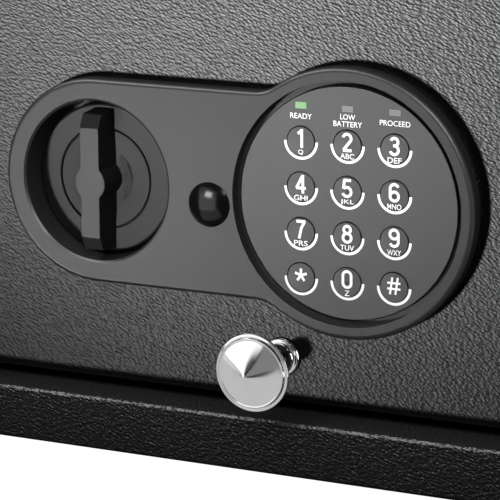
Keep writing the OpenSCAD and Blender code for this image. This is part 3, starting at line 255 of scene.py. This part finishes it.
# A plain moulded, printed or sleeved surface, with a slight mottle of the given width in its colour and
# relief
def plain_finish(name, colour, second, mottle_mm, values):
    finish, tree, shader = new_finish(name, values)
    place = object_place(tree)
    mottle = add_node(tree, "TexNoise", {"Scale": scale_for(mottle_mm), "Detail": 3, "Roughness": 0.6},
                      {"Vector": place})
    tint = add_node(tree, "MixRGB", {"Color1": linear(colour), "Color2": linear(second)},
                    {"Fac": mottle.outputs["Fac"]})
    bump = add_node(tree, "Bump", {"Strength": 0.3, "Distance": 0.0001}, {"Height": mottle.outputs["Fac"]})
    tree.links.new(tint.outputs["Color"], shader.inputs["Base Color"])
    tree.links.new(bump.outputs["Normal"], shader.inputs["Normal"])
    return finish


# A lit lamp's lens: clear green plastic with the light spread behind it, so that it glows evenly
def lit_lens(name, colour, strength):
    return new_finish(name, {"Base Color": linear(colour), "Roughness": 0.25,
                             "Emission Color": linear(colour), "Emission Strength": strength})[0]


DRAWER_COAT = wrinkle_coat("wrinkle_coat_drawer", "#131314", "#1c1c1d", 0.0003, 0.5, 0.38)
# The case's coat is the drawer's powder coat made darker: painted shade, a shaded copy of the same paint for
# the frame
CASE_COAT_SHADED = wrinkle_coat("wrinkle_coat_case_shaded", "#0b0b0c", "#121213", 0.0004, 0.36, 0.5)
HOUSING_ABS = moulded_abs("moulded_abs_housing", "#131314", 0.36, 0.00004, 0.12)
KEYPAD_ABS = moulded_abs("moulded_abs_keypad", "#161617", 0.5, 0.00006, 0.275)
KNOB_ABS = handled_abs("moulded_abs_knob", "#1c1c1e", 0.66, 0.42)
BRIGHT_NICKEL = bright_plate("bright_nickel", "#e6e6e8", 0.11)
# Pad-printed two-part ink: an even, slightly dull white
WHITE_PRINT = plain_finish("white_pad_print", "#dcdcda", "#d0d0ce", 1.111, {"Roughness": 0.45, "IOR": 1.5})

FINISHES = {
    "powder_coat": DRAWER_COAT,
    "case_coat": CASE_COAT_SHADED,
    "zinc_steel": zinc_plate("zinc_plate", "#b4b7ba", 0.38),
    # Ground and polished steel: a darker, softer mirror than plating
    "polished_steel": bright_plate("polished_steel", "#c8c9cb", 0.12),
    "nickel_plate": BRIGHT_NICKEL,
    "matte_abs": HOUSING_ABS,
    "keypad_plastic": KEYPAD_ABS,
    "key_plastic": KEYPAD_ABS,
    # ABS from a polished mould: deep black with a sharp highlight
    "gloss_plastic": plain_finish("polished_abs", "#0c0c0d", "#101012", 16.67,
                                  {"Roughness": 0.17, "IOR": ABS_IOR}),
    "lamp_green": lit_lens("lamp_green", "#597d55", 0.6),
    # Smoked lens of a lamp that is off: flat mid grey
    "lamp_grey": plain_finish("lamp_grey", "#5c5d60", "#47484a", 1.429, {"Roughness": 0.3, "IOR": 1.5}),
    # Moulded nitrile rubber: dull black with next to no highlight
    "rubber": plain_finish("nitrile_rubber", "#1d1d1f", "#262628", 3.333, {"Roughness": 0.75, "IOR": 1.52}),
    # Needled polyester felt: dead flat charcoal with a pale fuzz at grazing angles
    "felt": plain_finish("needled_felt", "#26272b", "#303136", 0.7143,
                         {"Roughness": 0.95, "Sheen Weight": 0.35}),
    # Solder mask over glass fibre board: shiny dark green
    "circuit_board": plain_finish("solder_mask", "#1c5a35", "#174c2c", 5, {"Roughness": 0.3, "IOR": 1.5}),
    "brass": zinc_plate("turned_brass", "#c9a45c", 0.3),
    # Moulded nylon: milky, slightly waxy
    "nylon": plain_finish("moulded_nylon", "#d8d5c8", "#cfccbe", 8.333, {"Roughness": 0.4, "IOR": 1.53}),
    # Enamelled copper wire in close turns: lacquered red-brown
    "copper_wire": plain_finish("enamelled_copper", "#8e4a2c", "#a35a34", 2, {"Roughness": 0.3, "IOR": 1.5}),
    # Shrunk film sleeve: shiny ochre
    "battery_wrap": plain_finish("battery_sleeve", "#8d6d33", "#7f612c", 12.5,
                                 {"Roughness": 0.25, "IOR": 1.5}),
    # Moulded red plastic: a plain signal red
    "red_plastic": plain_finish("moulded_red", "#b3261e", "#a2211a", 8.333, {"Roughness": 0.3, "IOR": 1.53}),
}


# Puts a finish on a part, in place of any that it has
def wear(part, finish):
    if not part.material_slots:
        part.data.materials.append(finish)
    for holder in part.material_slots:
        holder.material = finish


for subpart in frame["record"]["subparts"]:
    wear(frame["nodes"][subpart["node"]], FINISHES[subpart["material_slot"]])


# Makes a mesh piece from a bmesh whose shape is in the frame, and lets it ride on a body. Edges under the
# angle smooth, in degrees, are shaded round.
def make_piece(name, bm, body, finish, smooth=35):
    mesh = bpy.data.meshes.new(name)
    bm.to_mesh(mesh)
    bm.free()
    for polygon in mesh.polygons:
        polygon.use_smooth = True
    mesh.set_sharp_from_angle(angle=math.radians(smooth))
    mesh.materials.append(finish)
    piece = bpy.data.objects.new(name, mesh)
    bpy.context.scene.collection.objects.link(piece)
    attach(piece, body)
    return piece


# Puts a shape drawn with X right, Y up and Z out towards the viewer on the drawer front at (x, z)
def on_door(x, z):
    return Matrix.Translation((x, DOOR_Y, z)) @ Matrix.Rotation(math.radians(90), 4, "X")


# Turns a profile of (radius, height) in millimetres round the local Z axis
def turned(profile, place, steps):
    bm = bmesh.new()
    verts = [bm.verts.new((r * MM, 0, h * MM)) for r, h in profile]
    edges = [bm.edges.new(pair) for pair in zip(verts, verts[1:])]
    bmesh.ops.spin(bm, geom=verts + edges, cent=(0, 0, 0), axis=(0, 0, 1), angle=math.tau, steps=steps,
                   use_merge=True)
    bmesh.ops.remove_doubles(bm, verts=bm.verts, dist=1e-7)
    bmesh.ops.recalc_face_normals(bm, faces=bm.faces)
    bmesh.ops.transform(bm, matrix=place, verts=bm.verts)
    return bm


# Points on a round corner of radius r about a centre, from one angle to another in degrees
def corner(centre_r, centre_h, r, start, stop, count=6):
    angles = [math.radians(start + (stop - start) * i / (count - 1)) for i in range(count)]
    return [(centre_r + r * math.cos(a), centre_h + r * math.sin(a)) for a in angles]


# The pull knob's sizes in millimetres: radii, heights out from the panel, and how far its hollow curves reach
PULL_FOOT_R = 7.7
PULL_NECK_R = 4.5
PULL_NECK_END_R = 4.6
PULL_NECK_TOP = 10.5
PULL_FOOT_FLARE = 2.6
PULL_HEAD_FLARE = 9.75
PULL_CONE_R = 12.3
PULL_TIP = 34.4
PULL_STEPS = 160


# The foot: a beaded edge, a small step and a hollow curve up to the neck
def pull_foot_profile():
    profile = [(0, 0.05), (PULL_FOOT_R, 0.05)]
    profile += corner(7.6, 0.55, 0.4, -60, 60) + corner(7.2, 1.1, 0.35, 10, 80, 4)
    for degrees in range(0, 90, 9):
        a = math.radians(degrees)
        profile.append((PULL_NECK_R + PULL_FOOT_FLARE * (1 - math.sin(a)), 1.5 + 4.6 * (1 - math.cos(a))))
    return profile + [(PULL_NECK_R, 8.0), (PULL_NECK_END_R, PULL_NECK_TOP)]


# The head: a hollow curve out from the neck, a rim with a wide and a narrow ring, and a low cone with a
# round tip
def pull_head_profile():
    profile = [(PULL_NECK_END_R, PULL_NECK_TOP)]
    for degrees in range(6, 87, 8):
        a = math.radians(degrees)
        profile.append((PULL_NECK_END_R + PULL_HEAD_FLARE * (1 - math.cos(a)), 12.0 + 13.0 * math.sin(a)))
    profile += corner(15.25, 26.6, 0.6, -60, 75, 8) + [(14.9, 27.3)]
    profile += corner(14.62, 27.45, 0.22, -30, -150, 5) + [(14.25, 27.7)]
    profile += corner(13.75, 27.75, 0.42, 15, 120, 6) + [(13.3, 28.0), (PULL_CONE_R, 28.5)]
    return profile + [(1.2, 33.75), (0.6, 34.2), (0.0, PULL_TIP)]


# The pull knob turned from its two profiles, which meet at a seam in its neck
def turn_pull_knob():
    seam = (0, PULL_NECK_TOP)
    pieces = []
    for name, profile in (("pull_knob_foot", pull_foot_profile() + [seam]),
                          ("pull_knob_head", [seam] + pull_head_profile())):
        shape = turned(profile, on_door(0, PULL_Z), PULL_STEPS)
        pieces.append(make_piece(name, shape, "drawer", BRIGHT_NICKEL, smooth=50))
    for piece in pieces:
        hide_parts("pull_knob")
    return pieces


pull_foot, pull_head = turn_pull_knob()

# Thickness of the printed ink, and the rise of each stroke over the one before, so that crossing strokes
# never share a plane
INK = 0.00004
INK_STEP = 0.000008


# Text set as thin raised ink with its middle at (x, z): height and width are those of the whole word
def lettering(bm, words, x, z, height, width, front, weight):
    curve = bpy.data.curves.new("letters", "FONT")
    curve.body = words
    curve.align_x, curve.align_y = "CENTER", "BOTTOM_BASELINE"
    curve.size = 1
    curve.offset = weight
    curve.extrude = INK / 2
    curve.resolution_u = 6
    holder = bpy.data.objects.new("letters", curve)
    bpy.context.scene.collection.objects.link(holder)
    bpy.context.view_layer.update()
    mesh = bpy.data.meshes.new_from_object(holder.evaluated_get(bpy.context.evaluated_depsgraph_get()))
    bpy.data.objects.remove(holder)
    xs, ys = [v.co.x for v in mesh.vertices], [v.co.y for v in mesh.vertices]
    wide, tall = max(xs) - min(xs), max(ys) - min(ys)
    middle = Matrix.Translation((-(max(xs) + min(xs)) / 2, -(max(ys) + min(ys)) / 2, 0))
    fitted = Matrix.Diagonal((width / wide, height / tall, 1, 1)) @ middle
    mesh.transform(on_door(x, z) @ Matrix.Translation((0, 0, front)) @ fitted)
    bm.from_mesh(mesh)
    bpy.data.meshes.remove(mesh)


# Adds a shape of ink, drawn in its own plane, to a print at its place
def lay_ink(bm, made, place):
    bmesh.ops.recalc_face_normals(made, faces=made.faces)
    bmesh.ops.transform(made, matrix=place, verts=made.verts)
    mesh = bpy.data.meshes.new("ink")
    made.to_mesh(mesh)
    made.free()
    bm.from_mesh(mesh)
    bpy.data.meshes.remove(mesh)


# A ring sector of ink round a centre, from one angle to another in degrees
def ink_arc(bm, place, centre, inner, outer, start, stop, steps=40):
    made = bmesh.new()
    radii = [made.verts.new((r, 0, 0)) for r in (inner, outer)]
    edge = made.edges.new(radii)
    turn = Matrix.Rotation(math.radians(start), 3, "Z")
    bmesh.ops.rotate(made, verts=made.verts, cent=(0, 0, 0), matrix=turn)
    bmesh.ops.spin(made, geom=radii + [edge], cent=(0, 0, 0), axis=(0, 0, 1),
                   angle=math.radians(stop - start), steps=steps, use_merge=abs(stop - start) == 360)
    grown = bmesh.ops.extrude_face_region(made, geom=list(made.faces))
    top = [v for v in grown["geom"] if isinstance(v, bmesh.types.BMVert)]
    bmesh.ops.translate(made, verts=top, vec=(0, 0, INK))
    lay_ink(bm, made, place @ Matrix.Translation((*centre, 0)))


# A straight stroke of ink from one point to another
def ink_bar(bm, place, start, stop, width):
    way = Vector(stop) - Vector(start)
    made = bmesh.new()
    bmesh.ops.create_cube(made, size=1, matrix=Matrix.Translation((0.5, 0, 0.5)))
    bmesh.ops.scale(made, vec=(way.length, width, INK), verts=made.verts)
    turn = Matrix.Rotation(math.atan2(way.y, way.x), 4, "Z")
    lay_ink(bm, made, place @ Matrix.Translation((*start, 0)) @ turn)


# The strokes of each figure in millimetres, in a box 5 wide and 7.7 high: bars from point to point, and
# arcs as (centre, radius, from angle, to angle). A nine is a six turned round.
FIGURE_BOX = (5.0, 7.7)
STROKE = 1.16
BARS = {
    "1": [((3.0, 0), (3.0, 7.7)), ((3.2, 7.3), (1.25, 5.75))],
    "2": [((3.95, 4.5), (0.85, 0.7)), ((0.6, 0.5), (4.4, 0.5))],
    "3": [((1.85, 4.1), (2.6, 4.1))],
    "4": [((3.45, 0), (3.45, 7.7)), ((0.35, 2.2), (4.75, 2.2)), ((3.3, 7.3), (0.6, 2.2))],
    "5": [((1.0, 7.2), (4.2, 7.2)), ((1.3, 7.4), (0.85, 3.6))],
    "6": [((0.65, 2.3), (0.65, 5.4))],
    "7": [((0.5, 7.2), (4.55, 7.2)), ((4.25, 7.2), (2.6, 4.2)), ((2.75, 4.5), (1.75, 0))],
    "8": [],
    "0": [((0.65, 2.3), (0.65, 5.4)), ((4.35, 2.3), (4.35, 5.4))],
}
ARCS = {
    "2": [((2.45, 5.4), 1.78, 168, -32)],
    "3": [((2.4, 5.6), 1.57, 160, -90), ((2.35, 2.3), 1.8, 90, -162)],
    "5": [((2.35, 2.4), 1.9, 140, -160)],
    "6": [((2.5, 2.35), 1.85, 0, 360), ((2.5, 5.4), 1.85, 180, 25)],
    "8": [((2.5, 5.65), 1.5, 0, 360), ((2.5, 2.3), 1.82, 0, 360)],
    "0": [((2.5, 2.35), 1.85, 180, 360), ((2.5, 5.35), 1.85, 0, 180)],
}
FIGURE_SCALE = 0.96


# Draws one figure with its box's middle and foot at (x, z) on the drawer's front
def ink_figure(bm, figure, x, z, front):
    place = on_door(x, z) @ Matrix.Translation((0, 0, front))
    if figure == "9":
        figure = "6"
        place = place @ Matrix.Translation((0, FIGURE_BOX[1] * MM, 0)) @ Matrix.Rotation(math.pi, 4, "Z")
    place = place @ Matrix.Diagonal((FIGURE_SCALE, FIGURE_SCALE, 1, 1))
    place = place @ Matrix.Translation((-FIGURE_BOX[0] / 2 * MM, 0, 0))
    step = Matrix.Translation((0, 0, INK_STEP))
    for start, stop in BARS[figure]:
        ink_bar(bm, place, Vector(start) * MM, Vector(stop) * MM, STROKE * MM)
        place = place @ step
    for centre, radius, start, stop in ARCS.get(figure, []):
        inner, outer = (radius - STROKE / 2) * MM, (radius + STROKE / 2) * MM
        ink_arc(bm, place, Vector(centre) * MM, inner, outer, start, stop)
        place = place @ step


STAR_ARM, STAR_STROKE = 0.0027, 0.00105
HASH_SPACING, HASH_SLANT, HASH_STROKE = 0.00115, 0.0005, 0.00082
HASH_HALF_HEIGHT, HASH_HALF_WIDTH = 0.0034, 0.0028


# The star has five arms, and the hash two slanted bars and two level ones
def ink_sign(bm, sign, x, z, front):
    place, step = on_door(x, z) @ Matrix.Translation((0, 0, front)), Matrix.Translation((0, 0, INK_STEP))
    if sign == "star":
        for arm in range(5):
            angle = math.radians(90 + 72 * arm)
            ink_bar(bm, place, (0, 0), (STAR_ARM * math.cos(angle), STAR_ARM * math.sin(angle)), STAR_STROKE)
            place = place @ step
        return
    for side in (-HASH_SPACING, HASH_SPACING):
        ink_bar(bm, place, (side - HASH_SLANT, -HASH_HALF_HEIGHT), (side + HASH_SLANT, HASH_HALF_HEIGHT),
                HASH_STROKE)
        ink_bar(bm, place @ step, (-HASH_HALF_WIDTH, side), (HASH_HALF_WIDTH, side), HASH_STROKE)


# The keys in rows from the top left, each with its letters
KEYS = [("1", "Q"), ("2", "ABC"), ("3", "DEF"), ("4", "GHI"), ("5", "JKL"), ("6", "MNO"), ("7", "PRS"),
        ("8", "TUV"), ("9", "WXY"), ("star", ""), ("0", "Z"), ("hash", "")]
ARC_INNER, ARC_OUTER = 0.0062, 0.0073
FIGURE_DROP = 0.0025
SIGN_RISE = {"star": 0.0009, "hash": 0.0006}
LETTERS_DROP, LETTERS_HEIGHT, LETTERS_WEIGHT = 0.00435, 0.00215, 0.004
LETTER_WIDTH, LETTER_SPARE = 0.0019, 0.0002
# The plain state words under the lamps: column, word, height of its middle above the lock's middle, and
# width
STATE_WORDS = [(-1, "READY", 0.0334, 0.0093), (0, "LOW", 0.0344, 0.0063), (0, "BATTERY", 0.0316, 0.0121),
               (1, "PROCEED", 0.0334, 0.0128)]
WORD_HEIGHT, WORD_WEIGHT = 0.0021, 0.0


# The middle of the key at the given place in the list
def key_middle(n):
    return KEYPAD_X + (n % 3 - 1) * KEY_PITCH[0], LOCK_Z + TOP_KEYS_RISE - n // 3 * KEY_PITCH[1]


# The figure or sign on one key, and its letters if it has any
def print_key(name, letters, x, z):
    ink = bmesh.new()
    front = KEYPAD_FRONT + KEY_STANDS_OUT
    if name in SIGN_RISE:
        ink_sign(ink, name, x, z + SIGN_RISE[name], front)
    else:
        ink_figure(ink, name, x, z - FIGURE_DROP, front)
    if letters:
        width = LETTER_WIDTH * len(letters) + LETTER_SPARE
        lettering(ink, letters, x, z - LETTERS_DROP, LETTERS_HEIGHT, width, front, LETTERS_WEIGHT)
    make_piece("key_" + name + "_print", ink, "key_" + name + "_cap", WHITE_PRINT)


# Each key's print, the arc under each key on the keypad's face, and the state words
def print_keypad():
    face = bmesh.new()
    for n, (name, letters) in enumerate(KEYS):
        x, z = key_middle(n)
        place = on_door(x, z) @ Matrix.Translation((0, 0, KEYPAD_FRONT))
        ink_arc(face, place, (0, 0), ARC_INNER, ARC_OUTER, -180, 0)
        print_key(name, letters, x, z)
    for column, word, rise, width in STATE_WORDS:
        x = KEYPAD_X + column * KEY_PITCH[0]
        lettering(face, word, x, LOCK_Z + rise, WORD_HEIGHT, width, KEYPAD_FRONT, WORD_WEIGHT)
    make_piece("keypad_print", face, "drawer", WHITE_PRINT)


print_keypad()

# The key lock's cap in millimetres: a dome cut from a ball, on a skirt that goes into the housing, and hollow
# from behind
CAP_BASE = 6.05
CAP_R, CAP_RISE, CAP_RIM_R = 9.3, 3.4, 9.1
CAP_SKIRT_R, CAP_HOLLOW_R, CAP_SKIRT_DEPTH, CAP_WALL = 7.55, 6.1, 3, 0.5
CAP_STEPS = 24
CAP_ROUND_STEPS = 128


# The domed cap over the key lock, polished all over
def turn_cap():
    ball = (CAP_R ** 2 + CAP_RISE ** 2) / (2 * CAP_RISE)
    half = math.degrees(math.asin(CAP_RIM_R / ball))
    hollow_h, skirt_h = CAP_BASE - CAP_WALL, CAP_BASE - CAP_SKIRT_DEPTH
    inside = [(0, hollow_h), (CAP_HOLLOW_R, hollow_h), (CAP_HOLLOW_R, skirt_h)]
    skirt = [(7.4, skirt_h), (CAP_SKIRT_R, CAP_BASE - 2.8), (CAP_SKIRT_R, CAP_BASE), (8.9, CAP_BASE + 0.02)]
    dome = [(ball * math.sin(math.radians(a)), CAP_BASE + CAP_RISE - ball + ball * math.cos(math.radians(a)))
            for a in [half * i / CAP_STEPS for i in range(CAP_STEPS, 0, -1)]]
    crown = [(0, CAP_BASE + CAP_RISE)]
    shape = turned(inside + skirt + dome + crown, on_door(KEYLOCK_X, KEYLOCK_Z), CAP_ROUND_STEPS)
    piece = make_piece("override_cap_dome", shape, "cap", FINISHES["gloss_plastic"],
                       smooth=40)
    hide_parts("override_cap")
    return piece


cap_dome = turn_cap()

# Faces that meet at more than this many degrees stay sharp, and smaller angles are shaded as one round
# surface. It is small enough to keep a rounded edge's shading out of the flat faces beside it.
SOFT_EDGE_SMOOTH = 14
# Edges that turn by more than this are rounded
SHARP_FROM = math.radians(30)
KNOB_EDGE_R = 0.0003
FRAME_EDGE_R = 0.003


# A copy of a part's mesh with its loose triangles merged and its sharp edges rounded, in place of the part
def soften_edges(node, body, radius, finish):
    part = frame["nodes"][node]
    bm = bmesh.new()
    bm.from_mesh(part.data)
    bmesh.ops.remove_doubles(bm, verts=bm.verts, dist=1e-6)
    bmesh.ops.dissolve_limit(bm, angle_limit=math.radians(1), verts=bm.verts, edges=bm.edges)
    sharp = [e for e in bm.edges if len(e.link_faces) == 2 and e.calc_face_angle(0) > SHARP_FROM]
    bmesh.ops.bevel(bm, geom=sharp, offset=radius, affect="EDGES", segments=3, profile=0.5, material=-1,
                    clamp_overlap=True)
    piece = make_piece(node + "_soft_edged", bm, body, finish, smooth=SOFT_EDGE_SMOOTH)
    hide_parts(node)
    return piece


turn_knob = soften_edges("turn_knob", "knob", KNOB_EDGE_R, KNOB_ABS)
rounded_frame = soften_edges("front_frame", "case", FRAME_EDGE_R, CASE_COAT_SHADED)

MAT_CORNER_R = 0.006
# The mat is cut into so many strips each way, over this share of its size, so that its top can lie unevenly
MAT_STRIPS = 40
MAT_CUT_SHARE = 0.94
# How far the mat's top has settled, how far its waves go up and down, their turns in radians per metre, and
# the shift of the first
MAT_SETTLED, MAT_WAVE, MAT_TURNS, MAT_SHIFT = 0.0004, 0.0003, (71, 53), 1.3


# The felt mat that lies loose in the tray: needled felt with eased corners that has settled a little
# unevenly
def lay_felt_mat():
    low, high = (Vector(c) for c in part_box("drawer_mat"))
    middle, size = (low + high) / 2, high - low
    bm = bmesh.new()
    bmesh.ops.create_cube(bm, size=1)
    bmesh.ops.scale(bm, vec=size, verts=bm.verts)
    upright = [e for e in bm.edges if abs(e.verts[0].co.z - e.verts[1].co.z) > size.z / 2]
    bmesh.ops.bevel(bm, geom=upright, offset=MAT_CORNER_R, affect="EDGES", segments=6, profile=0.5,
                    material=-1)
    for across in (Vector((1, 0, 0)), Vector((0, 1, 0))):
        for step in range(1, MAT_STRIPS):
            share = (step / MAT_STRIPS - 0.5) * MAT_CUT_SHARE
            bmesh.ops.bisect_plane(bm, geom=bm.verts[:] + bm.edges[:] + bm.faces[:], plane_no=across,
                                   plane_co=across * share * abs(across.dot(size)))
    for v in bm.verts:
        if v.co.z > 0:
            wave = math.sin(v.co.x * MAT_TURNS[0] + MAT_SHIFT) * math.sin(v.co.y * MAT_TURNS[1])
            v.co.z -= MAT_SETTLED + MAT_WAVE * wave
    bmesh.ops.translate(bm, verts=bm.verts, vec=middle)
    piece = make_piece("felt_mat", bm, "drawer", FINISHES["felt"], smooth=60)
    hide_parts("drawer_mat")


lay_felt_mat()

FLOOR_HALF = 25


# A plain pale floor that only the camera sees, so that it neither lights the lock nor stands in the key
# light's way
def set_stage():
    floor = bmesh.new()
    bmesh.ops.create_grid(floor, x_segments=1, y_segments=1, size=FLOOR_HALF)
    mesh = bpy.data.meshes.new("floor")
    floor.to_mesh(mesh)
    floor.free()
    paper = new_finish("floor_paper", {"Base Color": linear("#f2f2f2"), "Roughness": 0.9,
                                       "Emission Color": linear("#ffffff"), "Emission Strength": 0.9})[0]
    mesh.materials.append(paper)
    piece = bpy.data.objects.new("floor", mesh)
    bpy.context.scene.collection.objects.link(piece)
    piece.visible_glossy = piece.visible_diffuse = piece.visible_shadow = False


# A soft light of a real size, placed by its direction and distance from the point that it lights
def soft_light(name, azimuth, elevation, distance, width, height, power, aim, spread=180):
    lamp = bpy.data.lights.new(name, "AREA")
    lamp.shape = "RECTANGLE"
    lamp.size, lamp.size_y = width, height
    lamp.energy = power
    lamp.spread = math.radians(spread)
    way = way_to(azimuth, elevation)
    holder = bpy.data.objects.new(name, lamp)
    holder.location = Vector(aim) + way * distance
    holder.rotation_euler = way.to_track_quat("Z", "Y").to_euler()
    holder.visible_camera = False
    bpy.context.scene.collection.objects.link(holder)
    return holder


# Keeps a light's shadows or its light off some pieces, or on them alone, as flags and grids do in a studio
def link_light(light, role, pieces, state):
    group = bpy.data.collections.new(light.name + "_" + role)
    for piece in pieces:
        group.objects.link(piece)
    for member in group.collection_objects:
        member.light_linking.link_state = state
    setattr(light.light_linking, role, group)


# The key light comes from low on the left, from a small lamp with a grid on it. Its place is azimuth,
# elevation, distance, width and height. It points up past the safe, so that its light falls off towards the
# sill.
KEY_PLACE = (-47, -31, 1.5, 0.16, 0.16)
KEY_AIM = (0.19, -0.15, 0.452)
KEY_SPREAD = 33
KEY_POWER, KNOB_KEY_POWER, FRAME_KEY_POWER = 3.45, 1.5, 0.09


# The knob and the frame have the same key light, each at its own power
def set_key_light():
    shell = [frame["nodes"]["case_shell"], frame["nodes"]["back_panel"]]
    light = soft_light("key_light", *KEY_PLACE, KEY_POWER, KEY_AIM, KEY_SPREAD)
    link_light(light, "blocker_collection", [pull_head], "EXCLUDE")
    unlit = [turn_knob, cap_dome, rounded_frame, pull_head, pull_foot] + shell
    link_light(light, "receiver_collection", unlit, "EXCLUDE")
    for name, piece, power in (("turn_knob_key", turn_knob, KNOB_KEY_POWER),
                               ("frame_key", rounded_frame, FRAME_KEY_POWER)):
        light = soft_light(name, *KEY_PLACE, power, KEY_AIM, KEY_SPREAD)
        link_light(light, "blocker_collection", [pull_head, turn_knob], "EXCLUDE")
        link_light(light, "receiver_collection", [piece], "INCLUDE")


# Lamps for the whole safe but its panel and pull knob: name, azimuth, elevation, distance, width, height,
# power
SAFE_AIM = (0, -0.15, 0.11)
SAFE_LIGHTS = (
    ("upper_light", -27, 26, 1.25, 1.5, 0.55, 1.6),
    ("print_light", 48, 42, 1.3, 0.6, 0.6, 5.0),
    ("back_light", 180, 42, 1.5, 1.5, 1.2, 20.0),
    ("side_light", 112, 42, 1.5, 1.4, 1.2, 14.0),
    ("left_light", -112, 42, 1.5, 1.4, 1.2, 14.0),
    ("top_light", 200, 68, 1.4, 1.4, 1.4, 18.0),
)

# Cards and strips for one piece each, in the same order of values, that draw its edges or fill its mirror
CARD_AIM = (0, -0.18, 0.044)
FRAME_CARDS = (
    ("sill_light", -36, 58, 1.0, 1.2, 0.9, 22.0),
)
HOUSING_CARDS = (
    ("rim_strip", 74, -6, 1.2, 0.16, 0.9, 6.0),
    ("rim_top_strip", -50, 48, 1.0, 1.0, 0.25, 28.0),
    ("lip_card", 23, 32, 1.0, 0.5, 0.35, 24.0),
)
CAP_CARDS = (
    ("cap_card", -22, 27, 1.0, 0.4, 0.26, 3.2),
    ("cap_fill", -24, 2, 0.7, 0.8, 0.55, 1.5),
    ("cap_low_card", -20, -35, 0.7, 0.9, 0.5, 0.6),
)
PULL_CARDS = (
    ("pull_softbox", -41, 21, 0.8, 1.0, 0.5, 2.1),
    ("pull_board", -28, -36, 0.42, 1.35, 0.6, 1.5),
    ("pull_left_card", -72, 4, 0.8, 0.22, 0.16, 0.065),
    ("pull_front_card", 18, 16, 0.9, 0.92, 0.52, 0.33),
    ("pull_strip", 72, 4, 0.8, 0.2, 0.5, 0.94),
    ("pull_back_left", -122, 0, 0.8, 0.7, 0.8, 1.2),
    ("pull_back_right", 114, -8, 0.8, 0.6, 0.7, 0.46),
    ("pull_foot_spot", 93, -8, 0.8, 0.16, 0.16, 0.24),
    ("pull_top_card", -60, 62, 0.8, 0.6, 0.6, 0.8),
)


# Sets every light, and keeps each off the pieces or on the piece that it is meant for
def set_lights():
    set_key_light()
    pull_parts = [pull_head, pull_foot]
    for row in SAFE_LIGHTS:
        light = soft_light(*row, SAFE_AIM)
        link_light(light, "receiver_collection", pull_parts + [frame["nodes"]["front_panel"]], "EXCLUDE")
    for cards, pieces in ((FRAME_CARDS, [rounded_frame]), (HOUSING_CARDS, [frame["nodes"]["lock_housing"]]),
                          (CAP_CARDS, [cap_dome]), (PULL_CARDS, pull_parts)):
        for row in cards:
            link_light(soft_light(*row, CARD_AIM), "receiver_collection", pieces, "INCLUDE")


# A nearly dark room, so that what the lamps don't reach stays black
def set_world():
    world = bpy.data.worlds.new("studio")
    world.use_nodes = True
    room = world.node_tree.nodes["Background"]
    room.inputs["Color"].default_value = linear("#ffffff")
    room.inputs["Strength"].default_value = 0.03
    bpy.context.scene.world = world
    bpy.context.scene.view_settings.view_transform = "Standard"


set_stage()
set_lights()
set_world()
